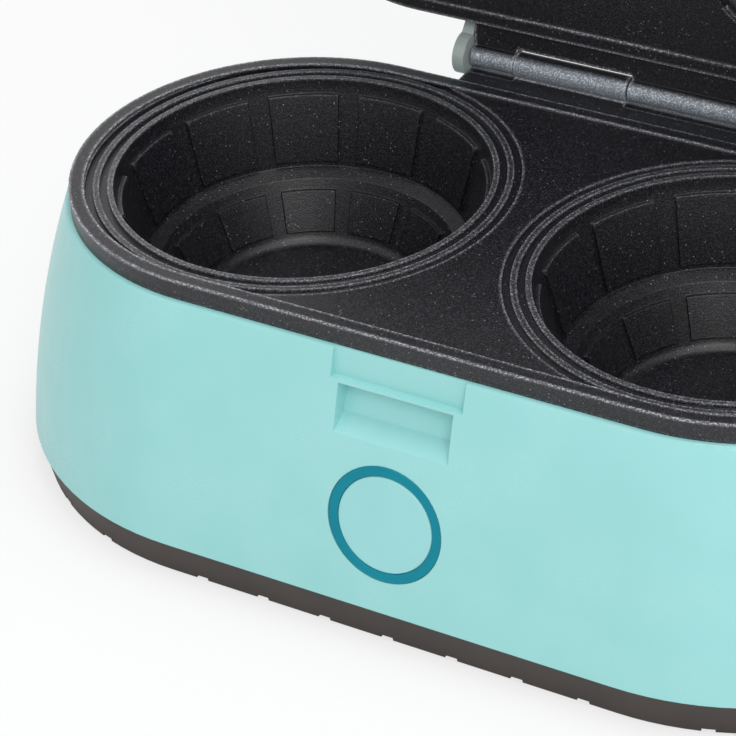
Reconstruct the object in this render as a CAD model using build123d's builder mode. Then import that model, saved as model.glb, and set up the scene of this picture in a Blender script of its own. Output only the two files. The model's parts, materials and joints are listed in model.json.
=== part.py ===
from build123d import *
from math import asin, cos, radians, sin, sqrt
import os

# Waffle bowl maker with two bowls, standing open on its worktop. Millimetres, +Z up.
# X runs along the two bowls, -Y is the front with the latch pocket, and the origin is
# on the worktop under the middle of the open machine's outline.

# Overall sizes
bowl_spacing = 142.0  # between the two bowl centres
bowl_rim_radius = 58.0  # mouth of a cavity
bowl_depth = 50.0  # floor of a cavity below the plate's lip
plate_radius = 69.1  # round ends of both cast plates
plate_end_shift = 2.8  # how far those round ends are centred outside the bowls
plate_top = 96.2  # lip of the lower plate above the worktop
seam_height = 13.0  # joint of lower housing and base cover
seam_radius = 87.8  # round ends of the body at that joint
skirt_radius = 84.9  # round ends of the base cover at its lower edge
foot_proud = 1.2  # how far the feet stand below the skirt
lid_depth = 40.0  # lid's top above its face
open_angle = 95.0  # how far the lid stands open, leaning back on its stop

# Walls and clearances
wall = 2.5  # moulded walls
cast_wall = 3.2  # bowls and domes
cast_plate = 4.0  # flat part of both plates
sheet = 0.8  # steel sheet
fit = 0.05  # radial play of pins, feet and inlays
play = 0.3  # play between parts that only lie beside each other
lid_gap = 0.6  # between the two lips when the lid is shut
batter_gap = 5.2  # between dome and cavity, the waffle's wall
past = 1.0  # how far a cut runs past a surface, or a joined shape into its neighbour

# Plates
plate_edge = 6.2  # visible edge of each plate
lip_width = 4.6
face_recess = 0.9  # plate's inner face below its lip
skirt_drop = 3.6  # locating skirt inside the housing
groove_inner, groove_outer = 59.8, 64.2  # radii of the two grooves round each bowl
groove_width, groove_depth = 2.4, 1.3
pads_round = 12  # raised pads round each tier
pad_arc = 23.0
pad_height = 1.2
pad_spans = ((0.14, 0.93), (0.16, 0.80))  # share of each tier's wall that a pad covers
tier_top, tier_floor, tier_step = 2.0, 29.0, 31.0
tier_sink = 0.8  # share of a wall shift that also lowers the step between the tiers
tier_one_radius, tier_two_radius, floor_radius = 50.5, 46.0, 37.0
floor_round = 4.0

# Hinge
hinge_setback = 12.1  # pin behind the plates' edge
hinge_rise = 2.9  # pin above the lower plate's lip
pin_radius = 1.6
pin_bevel = 0.4
base_knuckle_radius = 4.2
lid_knuckle_radius = 3.5
hinge_half = 54.0
knuckle_gap = 0.5
web_reach = 7.2  # hinge webs behind the plates' edge
base_web_thickness = 5.2
base_web_drop = 0.6  # web's top below the lower plate's lip
lid_web_thickness = 3.6
arm_front, arm_foot = 0.83, 0.7  # lower arms before and behind the pin, in knuckle radii
arm_bead = 0.5  # low bead at the foot of the lower knuckles
cheek_radius = 6.8
cheek_width = 4.0
cheek_root = 0.8  # share of the cheek's radius where its arm runs in
cheek_high = 20.0  # where that arm meets the lid's wall

# Lower housing
housing_top_radius = 70.6
housing_bulge = 2.4  # how far the wall bows out of a straight slope
shoulder_round = 1.5
shelf_thickness = 2.5
shelf_width = 5.4

# Latch, its catch and pocket
latch_half_width = 20.5
hook_half_width = 17.5
ledge_half_width = 21.0
pocket_half_width = 18.3
lip_level = 81.4  # top of the catch lip above the worktop
catch_lip = 1.0
catch_depth = 2.3  # catch lip, front to back
ledge_back = 0.4  # ledge's rear edge outside the plate
pocket_floor_low, pocket_mouth_low = 69.6, 66.0
pocket_shell_low = 60.0  # lowest point of the wall round the pocket
pocket_blend = 0.6  # how far that wall runs into the side wall

# Badge place
badge_height = 42.1
badge_ring_radius = 18.4
badge_disc_radius = 15.2
badge_depth = 1.8
badge_ring_sink, badge_disc_sink = 0.25, 0.1  # below the wall round them
badge_ring_round, badge_disc_round = 0.3, 0.5

# Worked out from the above
half_span = bowl_spacing / 2 + plate_end_shift
bowls_x = (-bowl_spacing / 2, bowl_spacing / 2)
housing_top = plate_top - plate_edge
shelf_inner = housing_top_radius - shelf_width
skirt_bottom = foot_proud
hinge_y = plate_radius + hinge_setback
hinge_z = plate_top + hinge_rise
face_drop = hinge_rise - lid_gap  # pin above the lid's face when shut
lid_round = 9.0
lid_top_radius = 66.4
opening = radians(open_angle)

front_reach = seam_radius
lid_back = (
    max((hinge_y + end) * -cos(opening) for end in (lid_round - lid_top_radius, lid_top_radius - lid_round))
    + (lid_depth - lid_round - face_drop) * sin(opening)
    + lid_round
)
rear_reach = max(hinge_y + lid_back, seam_radius)
body_y = (front_reach - rear_reach) / 2

BODY = Plane(origin=(0, body_y, 0))
LID = Plane(
    origin=(
        0,
        body_y + hinge_y - hinge_y * cos(opening) - face_drop * sin(opening),
        hinge_z + hinge_y * sin(opening) - face_drop * cos(opening),
    ),
    x_dir=(1, 0, 0),
    z_dir=(0, sin(opening), cos(opening)),
)


# Planes of the two halves

def level(frame, height, x=0.0, y=0.0):
    """Plane parallel to a half's face, with its origin at x, y and height."""
    return Plane(
        origin=frame.from_local_coords((x, y, height)),
        x_dir=frame.x_dir,
        z_dir=frame.z_dir,
    )


def across(frame, x):
    """Plane square to X whose sketch runs along the half's own y and height."""
    return Plane(
        origin=frame.from_local_coords((x, 0, 0)),
        x_dir=frame.y_dir,
        z_dir=frame.x_dir,
    )


def radial(frame, side):
    """Plane of a section through the racetrack where a round end begins."""
    return Plane(
        origin=frame.from_local_coords((-side * half_span, 0, 0)),
        x_dir=frame.y_dir * side,
        z_dir=frame.x_dir * side,
    )


def stand(frame, x, y, height):
    """Location of a level plane, for placing finished shapes."""
    return level(frame, height, x, y).location


# Shapes shared by several pieces

def racetrack(radius, mode=Mode.ADD):
    """Outline with two round ends, in the sketch that is open."""
    return SlotCenterToCenter(2 * half_span, 2 * radius, mode=mode)


def around(frame, section):
    """Carry a section of radius and height round the racetrack, in the part that is open."""
    for side in (-1, 1):
        with BuildSketch(radial(frame, side)) as profile:
            add(section)
        extrude(profile.sketch, amount=2 * half_span)
        start = frame.from_local_coords((-side * half_span, 0, 0))
        revolve(profile.sketch, axis=Axis(start, frame.z_dir), revolution_arc=180)


def rod(frame, radius, x_from, x_to, y, height, mode=Mode.ADD):
    """Round bar along X at the half's own y and height."""
    with BuildSketch(across(frame, x_from)) as profile:
        with Locations((y, height)):
            Circle(radius)
    extrude(profile.sketch, amount=x_to - x_from, mode=mode)


def slab(frame, points, x_from, x_to, mode=Mode.ADD):
    """Outline of own y and height, carried along X."""
    with BuildSketch(across(frame, x_from)) as profile:
        with BuildLine():
            Polyline(*points, close=True)
        make_face()
    extrude(profile.sketch, amount=x_to - x_from, mode=mode)


def post(frame, radius, x, y, low, high, mode=Mode.ADD):
    """Round post square to the half's face."""
    with BuildSketch(level(frame, low, x, y)) as profile:
        Circle(radius)
    extrude(profile.sketch, amount=high - low, mode=mode)


def bowl_outline(shift, top, lift=0.0):
    """Half outline of a bowl, moved inward by shift and down by lift."""
    rows = (
        (bowl_rim_radius, -tier_top, 0.0),
        (tier_one_radius, -tier_floor, tier_sink),
        (tier_two_radius, -tier_step, tier_sink),
        (floor_radius, -bowl_depth, 1.0),
    )
    wall_points = [(r - shift, z + shift * sink - lift) for r, z, sink in rows]
    rim = wall_points[0][0]
    return [(0, top), (rim, top), *wall_points, (0, wall_points[-1][1])]


def bowl_solid(shift, top, lift=0.0):
    """Body of revolution inside one of the bowl outlines, about its own Z axis."""
    points = bowl_outline(shift, top, lift)
    with BuildSketch() as section:
        with BuildLine():
            Polyline(*points, close=True)
        make_face()
        fillet(section.vertices().group_by(Axis.Y)[0].sort_by(Axis.X)[-1], floor_round)
    with BuildPart() as body:
        with BuildSketch(Plane.XZ):
            add(section.sketch)
        revolve(axis=Axis.Z)
    return body.part


def pads(shift, grow, lift=0.0):
    """The two raised pads of one flute, on the outline moved by shift, about Z."""
    points = bowl_outline(shift, 0, lift)
    tiers = ((points[2], points[3], *pad_spans[0]), (points[4], points[5], *pad_spans[1]))
    half = radians(pad_arc / 2)
    start = Plane(
        origin=(0, 0, 0), x_dir=(cos(half), -sin(half), 0), z_dir=(-sin(half), -cos(half), 0)
    )
    with BuildPart() as flute:
        for high, low, first, last in tiers:
            ends = [
                (high[0] + (low[0] - high[0]) * t, high[1] + (low[1] - high[1]) * t)
                for t in (first, last)
            ]
            near = [(r - grow, z) for r, z in ends]
            far = [(r + grow * pad_height, z) for r, z in ends]
            with BuildSketch(start):
                with BuildLine():
                    Polyline(near[0], near[1], far[1], far[0], close=True)
                make_face()
            revolve(axis=Axis.Z, revolution_arc=pad_arc)
    return flute.part


head_round, point_bevel = 0.4, 0.4  # shares of a screw's head height and shank radius
drive_floor, drive_reach, drive_slot = 0.45, 1.2, 0.28  # shares of its head


def screw(head_radius, head_height, shank_radius, length):
    """Pan head screw about Z: head above the origin, shank below, cross drive."""
    with BuildPart() as body:
        with BuildSketch():
            Circle(head_radius)
        extrude(amount=head_height)
        fillet(body.edges().group_by(Axis.Z)[-1], head_height * head_round)
        with BuildSketch(Plane.XY.offset(-length)):
            Circle(shank_radius)
        extrude(amount=length)
        chamfer(body.edges().group_by(Axis.Z)[0], shank_radius * point_bevel)
        with BuildSketch(Plane.XY.offset(head_height * drive_floor)):
            Rectangle(head_radius * drive_reach, head_radius * drive_slot)
            Rectangle(head_radius * drive_slot, head_radius * drive_reach)
        extrude(amount=head_height, mode=Mode.SUBTRACT)
    return body.part


def flipped(frame, x, y, height):
    """Location of a level plane turned over, for screws driven from below."""
    return Plane(
        origin=frame.from_local_coords((x, y, height)),
        x_dir=frame.x_dir,
        z_dir=-frame.z_dir,
    ).location


# Side wall of the lower housing: an arc through the seam and the shoulder

chord = sqrt((seam_radius - housing_top_radius) ** 2 + (housing_top - seam_height) ** 2)
arc_radius = (chord**2 / 4 + housing_bulge**2) / (2 * housing_bulge)
chord_lean = (seam_radius - housing_top_radius) / chord
chord_rise = (housing_top - seam_height) / chord
arc_back = arc_radius - housing_bulge
arc_r = (seam_radius + housing_top_radius) / 2 - arc_back * chord_rise
arc_z = (seam_height + housing_top) / 2 - arc_back * chord_lean


def wall_radius(height, inset=0.0):
    """Radius of the side wall, or of a surface inset from it, at a height."""
    return arc_r + sqrt((arc_radius - inset) ** 2 - (height - arc_z) ** 2)


with BuildSketch() as housing_section:
    mid_height = (seam_height + housing_top) / 2
    shelf_under = housing_top - shelf_thickness
    with BuildLine():
        ThreePointArc(
            (wall_radius(seam_height), seam_height),
            (wall_radius(mid_height), mid_height),
            (wall_radius(housing_top), housing_top),
        )
        Polyline(
            (wall_radius(housing_top), housing_top),
            (shelf_inner, housing_top),
            (shelf_inner, shelf_under),
            (wall_radius(shelf_under, wall), shelf_under),
        )
        ThreePointArc(
            (wall_radius(shelf_under, wall), shelf_under),
            (wall_radius(mid_height, wall), mid_height),
            (wall_radius(seam_height, wall), seam_height),
        )
        Line(
            (wall_radius(seam_height, wall), seam_height),
            (wall_radius(seam_height), seam_height),
        )
    make_face()
    fillet(
        housing_section.vertices().group_by(Axis.Y)[-1].sort_by(Axis.X)[-1],
        shoulder_round,
    )

# Places shared by neighbouring pieces

plate_posts = [(x, y) for x in (-25.0, 25.0) for y in (-54.0, 54.0)]
plate_post_radius = 4.0
lug_half_width = 6.0
lug_reach = 49.0
lug_extra = 1.0  # lugs are this much thicker than the shelf they grow from
shield_level = 28.0
shield_radius = 72.0
shield_posts = [(x, y) for x in (-40.0, 40.0) for y in (-58.0, 58.0)]
shield_post_radius = 3.5
shield_screw_depth = 9.0
lid_shield_level = 14.0
lid_shield_radius = 60.0
lid_shield_posts = [(x, y) for x in (-40.0, 40.0) for y in (-52.0, 52.0)]
cover_floor_rise, cover_floor_thickness = 2.0, 2.4
cover_floor_low = skirt_bottom + cover_floor_rise
cover_floor = cover_floor_low + cover_floor_thickness
cover_boss_radius = 3.8
cover_boss_high = 48.0
cover_boss_cap = 8.0  # solid end of a boss above its hole
cover_boss_ring = seam_radius - 9.8
cover_bosses = [(x, side * cover_boss_ring) for x in (-60.0, 60.0) for side in (-1, 1)]
cover_bosses += [(side * (half_span + cover_boss_ring), 0.0) for side in (-1, 1)]
feet = [(x, y) for x in (-104.0, 104.0) for y in (-50.0, 50.0)]
foot_radius = 9.0
foot_round = 1.0
foot_stem_radius = 3.2
foot_catch, foot_tip, foot_taper = 1.2, 2.4, 25.0  # cone that snaps over the floor
plate_shank, cover_shank, small_shank = 1.4, 1.45, 1.2
plate_screw = screw(3.2, 2.0, plate_shank, 7.0)
plate_screw_hole = plate_shank + fit
cover_screw = screw(3.4, 2.0, cover_shank, 14.0)
cover_screw_hole = cover_shank + fit
small_screw = screw(2.6, 1.6, small_shank, 6.0)
short_screw = screw(2.4, 1.5, small_shank, 4.5)
small_screw_hole = small_shank + fit
screw_pass = 0.45  # extra radius of holes a screw passes freely
boss_radius = 3.0
clamp_y = 66.0
clamp_post_top = 13.0
clamp_posts = [(-10.0, clamp_y), (10.0, clamp_y)]

# Hinge knuckles along X, taken by turns by the lid and the lower plate

knuckle_edges = (-hinge_half, -38.4, 1.0, 38.6, hinge_half)
knuckle_spans = [
    (first + knuckle_gap / 2, last - knuckle_gap / 2)
    for first, last in zip(knuckle_edges, knuckle_edges[1:])
]
lid_knuckles = knuckle_spans[0::2]
base_knuckles = knuckle_spans[1::2]

# Latch places in the lid's own y and height, and the pocket in the body's

pivot_y, pivot_h = -75.6, 14.0
latch_pin_radius = 1.25
ear_width = 3.0
ear_nose, ear_bevel = 3.4, 2.4  # ear's reach from the pivot, straight and on the slant
ear_low, ear_high = 8.0, 21.0  # where an ear leaves the lid's wall
lid_face_shut = plate_top + lid_gap
pocket_top = lip_level - catch_lip
catch_y = -wall_radius(lip_level)
pocket_back_high, pocket_back_low = 67.3, 71.5

# Cord inlet at the rear

inlet_height = 30.0
inlet_bore = 3.9
inlet_neck = 6.4
inlet_flange = 9.0
inlet_pad_radius = 11.5
inlet_pad_depth = 5.5
inlet_y = wall_radius(inlet_height) + 0.8
inlet_face = Plane(
    origin=(0, body_y + inlet_y, inlet_height), x_dir=(1, 0, 0), z_dir=(0, 1, 0)
)

# Lower housing

with BuildPart() as lower_housing:
    around(BODY, housing_section.sketch)
    pocket_shell = [
        (-(pocket_back_high - wall), shelf_under),
        (-(pocket_back_high - wall), pocket_top),
        (-(pocket_back_low - wall), pocket_floor_low - wall),
        (-(wall_radius(pocket_shell_low, wall) + pocket_blend), pocket_shell_low),
        (-(wall_radius(shelf_under, wall) + pocket_blend), shelf_under),
    ]
    slab(BODY, pocket_shell, -ledge_half_width - wall, ledge_half_width + wall)
    for x, y in plate_posts:
        reach = lug_reach if y > 0 else -lug_reach
        rim = shelf_inner + past if y > 0 else -shelf_inner - past
        with BuildSketch(level(BODY, shelf_under - lug_extra, x, (reach + rim) / 2)):
            Rectangle(2 * lug_half_width, abs(rim - reach))
        extrude(amount=shelf_thickness + lug_extra)
    for x, y in cover_bosses:
        post(BODY, cover_boss_radius, x, y, cover_floor, cover_boss_high)
    with BuildSketch(inlet_face.offset(-inlet_pad_depth)):
        Circle(inlet_pad_radius)
    extrude(amount=inlet_pad_depth)
    with BuildSketch(inlet_face):
        Circle(inlet_pad_radius)
    extrude(amount=inlet_pad_depth, mode=Mode.SUBTRACT)
    ledge_cut = [
        (-(plate_radius + ledge_back), housing_top + past),
        (catch_y + catch_depth, lip_level),
        (-seam_radius, lip_level),
        (-seam_radius, housing_top + past),
    ]
    slab(BODY, ledge_cut, -ledge_half_width, ledge_half_width, Mode.SUBTRACT)
    pocket_cut = [
        (-pocket_back_high, pocket_top),
        (-seam_radius, pocket_top),
        (-seam_radius, pocket_mouth_low),
        (-wall_radius(pocket_mouth_low), pocket_mouth_low),
        (-pocket_back_low, pocket_floor_low),
    ]
    slab(BODY, pocket_cut, -pocket_half_width, pocket_half_width, Mode.SUBTRACT)
    for x, y in plate_posts:
        hole_low = shelf_under - lug_extra - past
        post(BODY, plate_screw_hole + screw_pass, x, y, hole_low, housing_top + past, Mode.SUBTRACT)
    for x, y in cover_bosses:
        hole_high = cover_boss_high - cover_boss_cap
        post(BODY, cover_screw_hole, x, y, cover_floor - past, hole_high, Mode.SUBTRACT)
    with BuildSketch(inlet_face.offset(-2 * inlet_pad_depth)):
        Circle(inlet_neck + fit)
    extrude(amount=3 * inlet_pad_depth, mode=Mode.SUBTRACT)
    badge_lean = asin((badge_height - arc_z) / arc_radius)
    badge_face = Plane(
        origin=(0, body_y - wall_radius(badge_height), badge_height),
        x_dir=(1, 0, 0),
        z_dir=(0, -cos(badge_lean), sin(badge_lean)),
    )
    with BuildSketch(badge_face.offset(-badge_depth)):
        Circle(badge_ring_radius + fit)
    extrude(amount=2 * badge_depth, mode=Mode.SUBTRACT)

# Badge place on the front: a plain disc in a coloured ring

with BuildPart() as badge_ring:
    with BuildSketch(badge_face.offset(-badge_depth)):
        Circle(badge_ring_radius)
        Circle(badge_disc_radius + fit, mode=Mode.SUBTRACT)
    extrude(amount=badge_depth - badge_ring_sink)
    fillet(badge_ring.faces().sort_by(Axis.Y)[0].edges(), badge_ring_round)

with BuildPart() as badge_disc:
    with BuildSketch(badge_face.offset(-badge_depth)):
        Circle(badge_disc_radius)
    extrude(amount=badge_depth - badge_disc_sink)
    fillet(badge_disc.faces().sort_by(Axis.Y)[0].edges(), badge_disc_round)

# Base cover, with its notched skirt, vents and posts

notch_pitch, notch_width, notch_depth = 21.1, 4.0, 1.1
notches_along = 7
end_notch_turns = range(-72, 73, 16)
vent_pitch, vent_length, vent_width = 9.0, 26.0, 3.0
vents_along, vent_rows_apart = 9, 52.0
seam_step = 0.4  # cover's edge inside the housing's at the seam
upstand_height, upstand_wall, upstand_lean = 4.0, 2.0, 0.5

with BuildSketch() as cover_section:
    upstand = wall_radius(seam_height, wall) - 2 * play
    upstand_inside = upstand - upstand_lean - upstand_wall
    floor_edge = skirt_radius - wall - upstand_wall
    with BuildLine():
        Polyline(
            (skirt_radius - wall, skirt_bottom),
            (skirt_radius, skirt_bottom),
            (seam_radius - seam_step, seam_height),
            (upstand, seam_height),
            (upstand - upstand_lean, seam_height + upstand_height),
            (upstand_inside, seam_height + upstand_height),
            (upstand_inside, cover_floor),
            (floor_edge, cover_floor),
            (floor_edge, cover_floor_low),
            (skirt_radius - wall, cover_floor_low),
            close=True,
        )
    make_face()

with BuildPart() as base_cover:
    around(BODY, cover_section.sketch)
    with BuildSketch(level(BODY, cover_floor_low)):
        racetrack(floor_edge + past)
    extrude(amount=cover_floor_thickness)
    for x, y in cover_bosses:
        post(BODY, cover_screw_hole + screw_pass, x, y, 0, cover_floor + past, Mode.SUBTRACT)
    for x, y in shield_posts:
        post(BODY, shield_post_radius, x, y, cover_floor, shield_level)
        hole_low = shield_level - shield_screw_depth
        post(BODY, small_screw_hole, x, y, hole_low, shield_level + past, Mode.SUBTRACT)
    for x, y in clamp_posts:
        post(BODY, boss_radius, x, y, cover_floor, clamp_post_top)
        post(BODY, small_screw_hole, x, y, cover_floor + past, clamp_post_top + past, Mode.SUBTRACT)
    for x, y in feet:
        post(BODY, foot_stem_radius + fit, x, y, 0, cover_floor + past, Mode.SUBTRACT)
    with BuildSketch(level(BODY, cover_floor_low - past)):
        with GridLocations(vent_pitch, vent_rows_apart, vents_along, 2):
            SlotOverall(vent_length, vent_width, rotation=90)
    extrude(amount=cover_floor_thickness + 2 * past, mode=Mode.SUBTRACT)
    with BuildSketch(level(BODY, skirt_bottom)):
        with GridLocations(notch_pitch, 2 * skirt_radius, notches_along, 2):
            Rectangle(notch_width, 4 * wall)
        for side in (-1, 1):
            for turn in end_notch_turns:
                x = side * (half_span + skirt_radius * cos(radians(turn)))
                y = skirt_radius * sin(radians(turn))
                with Locations(Location((x, y, 0), (0, 0, side * turn))):
                    Rectangle(4 * wall, notch_width)
    extrude(amount=notch_depth, mode=Mode.SUBTRACT)

# Rubber feet, pressed into the cover's floor

with BuildPart() as one_foot:
    with BuildSketch():
        Circle(foot_radius)
    extrude(amount=cover_floor_low)
    fillet(one_foot.edges().group_by(Axis.Z)[0], foot_round)
    with BuildSketch(Plane.XY.offset(cover_floor_low)):
        Circle(foot_stem_radius)
    extrude(amount=cover_floor_thickness)
    with BuildSketch(Plane.XY.offset(cover_floor)):
        Circle(foot_stem_radius + foot_catch)
    extrude(amount=foot_tip, taper=foot_taper)

with BuildPart() as rubber_feet:
    with Locations(*[stand(BODY, x, y, 0) for x, y in feet]):
        add(one_foot.part)

with BuildPart() as cover_screws:
    with Locations(*[flipped(BODY, x, y, cover_floor_low) for x, y in cover_bosses]):
        add(cover_screw)

# Both cast plates: a slab with a raised lip, an edge wall and a locating skirt

skirt_outer = shelf_inner - play
skirt_inner = skirt_outer - wall
skirt_gap = plate_posts[-1][0] + lug_half_width + play
thin_cast = 1.3  # least metal left over a blind hole
hole_level = face_recess + thin_cast


def cast_blank(frame, face, side):
    """Slab, edge wall, skirt and posts of a cast plate, in the part that is open.

    side is 1 where the plate's back is above its face and -1 where it is below.
    """
    with BuildSketch(level(frame, face)) as flat:
        racetrack(plate_radius)
    extrude(flat.sketch, amount=side * cast_plate)
    with BuildSketch(level(frame, face)) as edge:
        racetrack(plate_radius)
        racetrack(skirt_inner, Mode.SUBTRACT)
    extrude(edge.sketch, amount=side * plate_edge)
    with BuildSketch(level(frame, face + side * plate_edge)) as skirt:
        racetrack(skirt_outer)
        racetrack(skirt_inner, Mode.SUBTRACT)
        Rectangle(2 * skirt_gap, 3 * skirt_outer, mode=Mode.SUBTRACT)
    extrude(skirt.sketch, amount=side * skirt_drop)
    for x, y in plate_posts:
        low, high = sorted((face + side * hole_level, face + side * plate_edge))
        post(frame, plate_post_radius, x, y, low, high)


def cast_face(frame, face, side):
    """Inner face recessed within the lip, and the screw holes in the posts."""
    with BuildSketch(level(frame, face)) as recess:
        racetrack(plate_radius - lip_width)
    extrude(recess.sketch, amount=side * face_recess, mode=Mode.SUBTRACT)
    for x, y in plate_posts:
        low, high = sorted((face + side * hole_level, face + side * (plate_edge + past)))
        post(frame, plate_screw_hole, x, y, low, high, Mode.SUBTRACT)


def ring_grooves(frame, face, side):
    """Two round grooves in the recessed face about each bowl."""
    for radius in (groove_inner, groove_outer):
        with BuildSketch(level(frame, face)) as grooves:
            with Locations(*[(x, 0) for x in bowls_x]):
                Circle(radius + groove_width)
                Circle(radius, mode=Mode.SUBTRACT)
            racetrack(plate_radius - lip_width, Mode.INTERSECT)
        extrude(grooves.sketch, amount=side * (face_recess + groove_depth), mode=Mode.SUBTRACT)


def hinge_web(frame, low, high, axis_h, knuckle_radius, arm, spans):
    """Web behind a plate, with arms, knuckles about the pin and their bores."""
    slab(
        frame,
        [(skirt_outer, low), (web_y, low), (web_y, high), (skirt_outer, high)],
        -hinge_half,
        hinge_half,
    )
    for first, last in spans:
        slab(frame, arm, first, last)
        rod(frame, knuckle_radius, first, last, hinge_y, axis_h)
    bore_half = hinge_half + past
    rod(frame, pin_radius + fit, -bore_half, bore_half, hinge_y, axis_h, Mode.SUBTRACT)


web_y = plate_radius + web_reach
base_web_high = plate_top - base_web_drop
base_web_low = base_web_high - base_web_thickness
arm_back_y = hinge_y + arm_foot * base_knuckle_radius
arm_front_y = hinge_y - arm_front * base_knuckle_radius
base_arm = [
    (web_y - past, base_web_low),
    (arm_back_y, base_web_low),
    (hinge_y + base_knuckle_radius, hinge_z),
    (hinge_y, hinge_z),
    (hinge_y, base_web_high + arm_bead),
    (arm_front_y, base_web_high + arm_bead),
    (arm_front_y, base_web_high),
    (web_y - past, base_web_high),
]
ledge_high = hinge_z - lid_knuckle_radius - 2 * play
base_ledge = [  # closes the hinge under the lid's knuckles
    (web_y - past, base_web_low),
    (arm_back_y, base_web_low),
    (arm_back_y, ledge_high),
    (web_y - past, ledge_high),
]
lid_web_high = plate_edge - play
lid_web_low = lid_web_high - lid_web_thickness
lid_arm = [
    (web_y - past, lid_web_low),
    (hinge_y, lid_web_low),
    (hinge_y, lid_web_high),
    (web_y - past, lid_web_high),
]


# Shapes of the bowls, each about its own Z axis with the plate's lip at Z = 0

bowl_shell = bowl_solid(-cast_wall, -face_recess - past)
dome_lift = lid_gap
dome_body = bowl_solid(batter_gap, cast_plate / 2, dome_lift)
dome_hollow = bowl_solid(batter_gap + cast_wall, cast_plate + past, dome_lift)

cavity_space = bowl_solid(0, past)
cavity_pads = pads(0, -1)
dome_pads = pads(batter_gap, 1, dome_lift)

with BuildPart() as cavity_core:
    add(cavity_space)
    with PolarLocations(0, pads_round):
        add(cavity_pads, mode=Mode.SUBTRACT)

with BuildPart() as dome:
    add(dome_body)
    with PolarLocations(0, pads_round):
        add(dome_pads)

# Heating elements sit in a channel round each bowl and inside each dome

element_radius = 3.25
element_out = 2.3  # ring's middle outside the bowl's floor
dome_element_out, dome_element_rise = 1.7, 4.9  # the same in a dome, and above its floor
element_turn, element_sweep = 120.0, 300.0  # where the ring begins and how far it goes
terminal_radius = 2.6
terminal_pin_radius = 1.1
terminal_pin = 3.5
terminal_level = 40.0
lid_terminal_level = 8.0
shell_rows = bowl_outline(-cast_wall, 0)
channel_top = shell_rows[3][1]
element_drop = -shell_rows[4][1] + play + element_radius
element_ring = shell_rows[4][0] + element_out
channel_in = element_ring + element_radius + play
channel_lip_wall, channel_root = 2.2, 3.5
inside_rows = bowl_outline(batter_gap + cast_wall, 0, dome_lift)
dome_element_ring = inside_rows[4][0] + dome_element_out
dome_element_h = inside_rows[4][1] + dome_element_rise

with BuildPart() as channel_lip:
    with BuildSketch(Plane.XZ):
        with BuildLine():
            Polyline(
                (tier_one_radius + past, channel_top + channel_root),
                (channel_in + channel_lip_wall, channel_top + channel_root),
                (channel_in + channel_lip_wall, -element_drop - past),
                (channel_in, -element_drop - past),
                (channel_in, channel_top),
                (tier_one_radius + past, channel_top),
                close=True,
            )
        make_face()
    revolve(axis=Axis.Z)

# Bosses that hold the thermostats and the fuse under their straps

strap_half = 14.0
thermostat_radius = 8.5
thermostat_height = 7.0
fuse_radius = 2.2
fuse_half = 6.0
fuse_pin_radius = 0.6
strap_width = 9.0
bowl_under = plate_top + bowl_outline(-cast_wall, 0)[-1][1]
dome_floor = inside_rows[-1][1]
fuse_strap_top = bowl_under - 2 * fuse_radius - play - 2 * fit
thermostat_strap_top = bowl_under - thermostat_height
blind_end = 0.5  # metal left past a strap screw's hole

with BuildPart() as lower_plate:
    cast_blank(BODY, plate_top, -1)
    hinge_web(
        BODY, base_web_low, base_web_high, hinge_z, base_knuckle_radius, base_arm, base_knuckles
    )
    slab(BODY, base_ledge, -hinge_half, hinge_half)
    cast_face(BODY, plate_top, -1)
    bowl_places = [stand(BODY, x, 0, plate_top) for x in bowls_x]
    with Locations(*bowl_places):
        add(bowl_shell)
        add(channel_lip.part)
    ring_grooves(BODY, plate_top, -1)
    with Locations(*bowl_places):
        add(cavity_core.part, mode=Mode.SUBTRACT)
    for x, low in ((bowls_x[0], thermostat_strap_top), (bowls_x[1], fuse_strap_top)):
        for side in (-strap_half, strap_half):
            hole = (low - past, bowl_under - blind_end)
            post(BODY, boss_radius, x + side, 0, low, bowl_under + past)
            post(BODY, small_screw_hole, x + side, 0, *hole, Mode.SUBTRACT)

with BuildPart() as upper_plate:
    cast_blank(LID, 0, 1)
    hinge_web(
        LID, lid_web_low, lid_web_high, face_drop, lid_knuckle_radius, lid_arm, lid_knuckles
    )
    cast_face(LID, 0, 1)
    dome_places = [stand(LID, x, 0, 0) for x in bowls_x]
    with Locations(*dome_places):
        add(dome.part)
        add(dome_hollow, mode=Mode.SUBTRACT)
    for side in (-strap_half, strap_half):
        x = bowls_x[0] + side
        top = dome_floor + thermostat_height
        post(LID, boss_radius, x, 0, dome_floor - past, top)
        post(LID, small_screw_hole, x, 0, dome_floor + blind_end, top + past, Mode.SUBTRACT)
    for x, y in lid_shield_posts:
        post(LID, shield_post_radius, x, y, cast_plate - past, lid_shield_level)
        post(LID, small_screw_hole, x, y, cast_plate, lid_shield_level + past, Mode.SUBTRACT)


def element(ring, end, pin_end):
    """Sheathed ring about Z at height 0, with its two ends led up or down to end."""
    turn = radians(element_turn)
    start = Plane(origin=(0, 0, 0), x_dir=(cos(turn), sin(turn), 0), z_dir=(sin(turn), -cos(turn), 0))
    with BuildPart() as body:
        with BuildSketch(start):
            with Locations((ring, 0)):
                Circle(element_radius)
        revolve(axis=Axis.Z, revolution_arc=element_sweep)
        for angle in (element_turn, element_turn + element_sweep):
            x = ring * cos(radians(angle))
            y = ring * sin(radians(angle))
            with Locations((x, y, 0)):
                Sphere(element_radius)
            with BuildSketch(Plane.XY):
                with Locations((x, y)):
                    Circle(terminal_radius)
            extrude(amount=end)
            with BuildSketch(Plane.XY):
                with Locations((x, y)):
                    Circle(terminal_pin_radius)
            extrude(amount=pin_end)
    return body.part


lower_end = terminal_level - (plate_top - element_drop)
upper_end = lid_terminal_level - dome_element_h
lower_element = element(element_ring, lower_end, lower_end - terminal_pin)
upper_element = element(dome_element_ring, upper_end, upper_end + terminal_pin)

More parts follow.
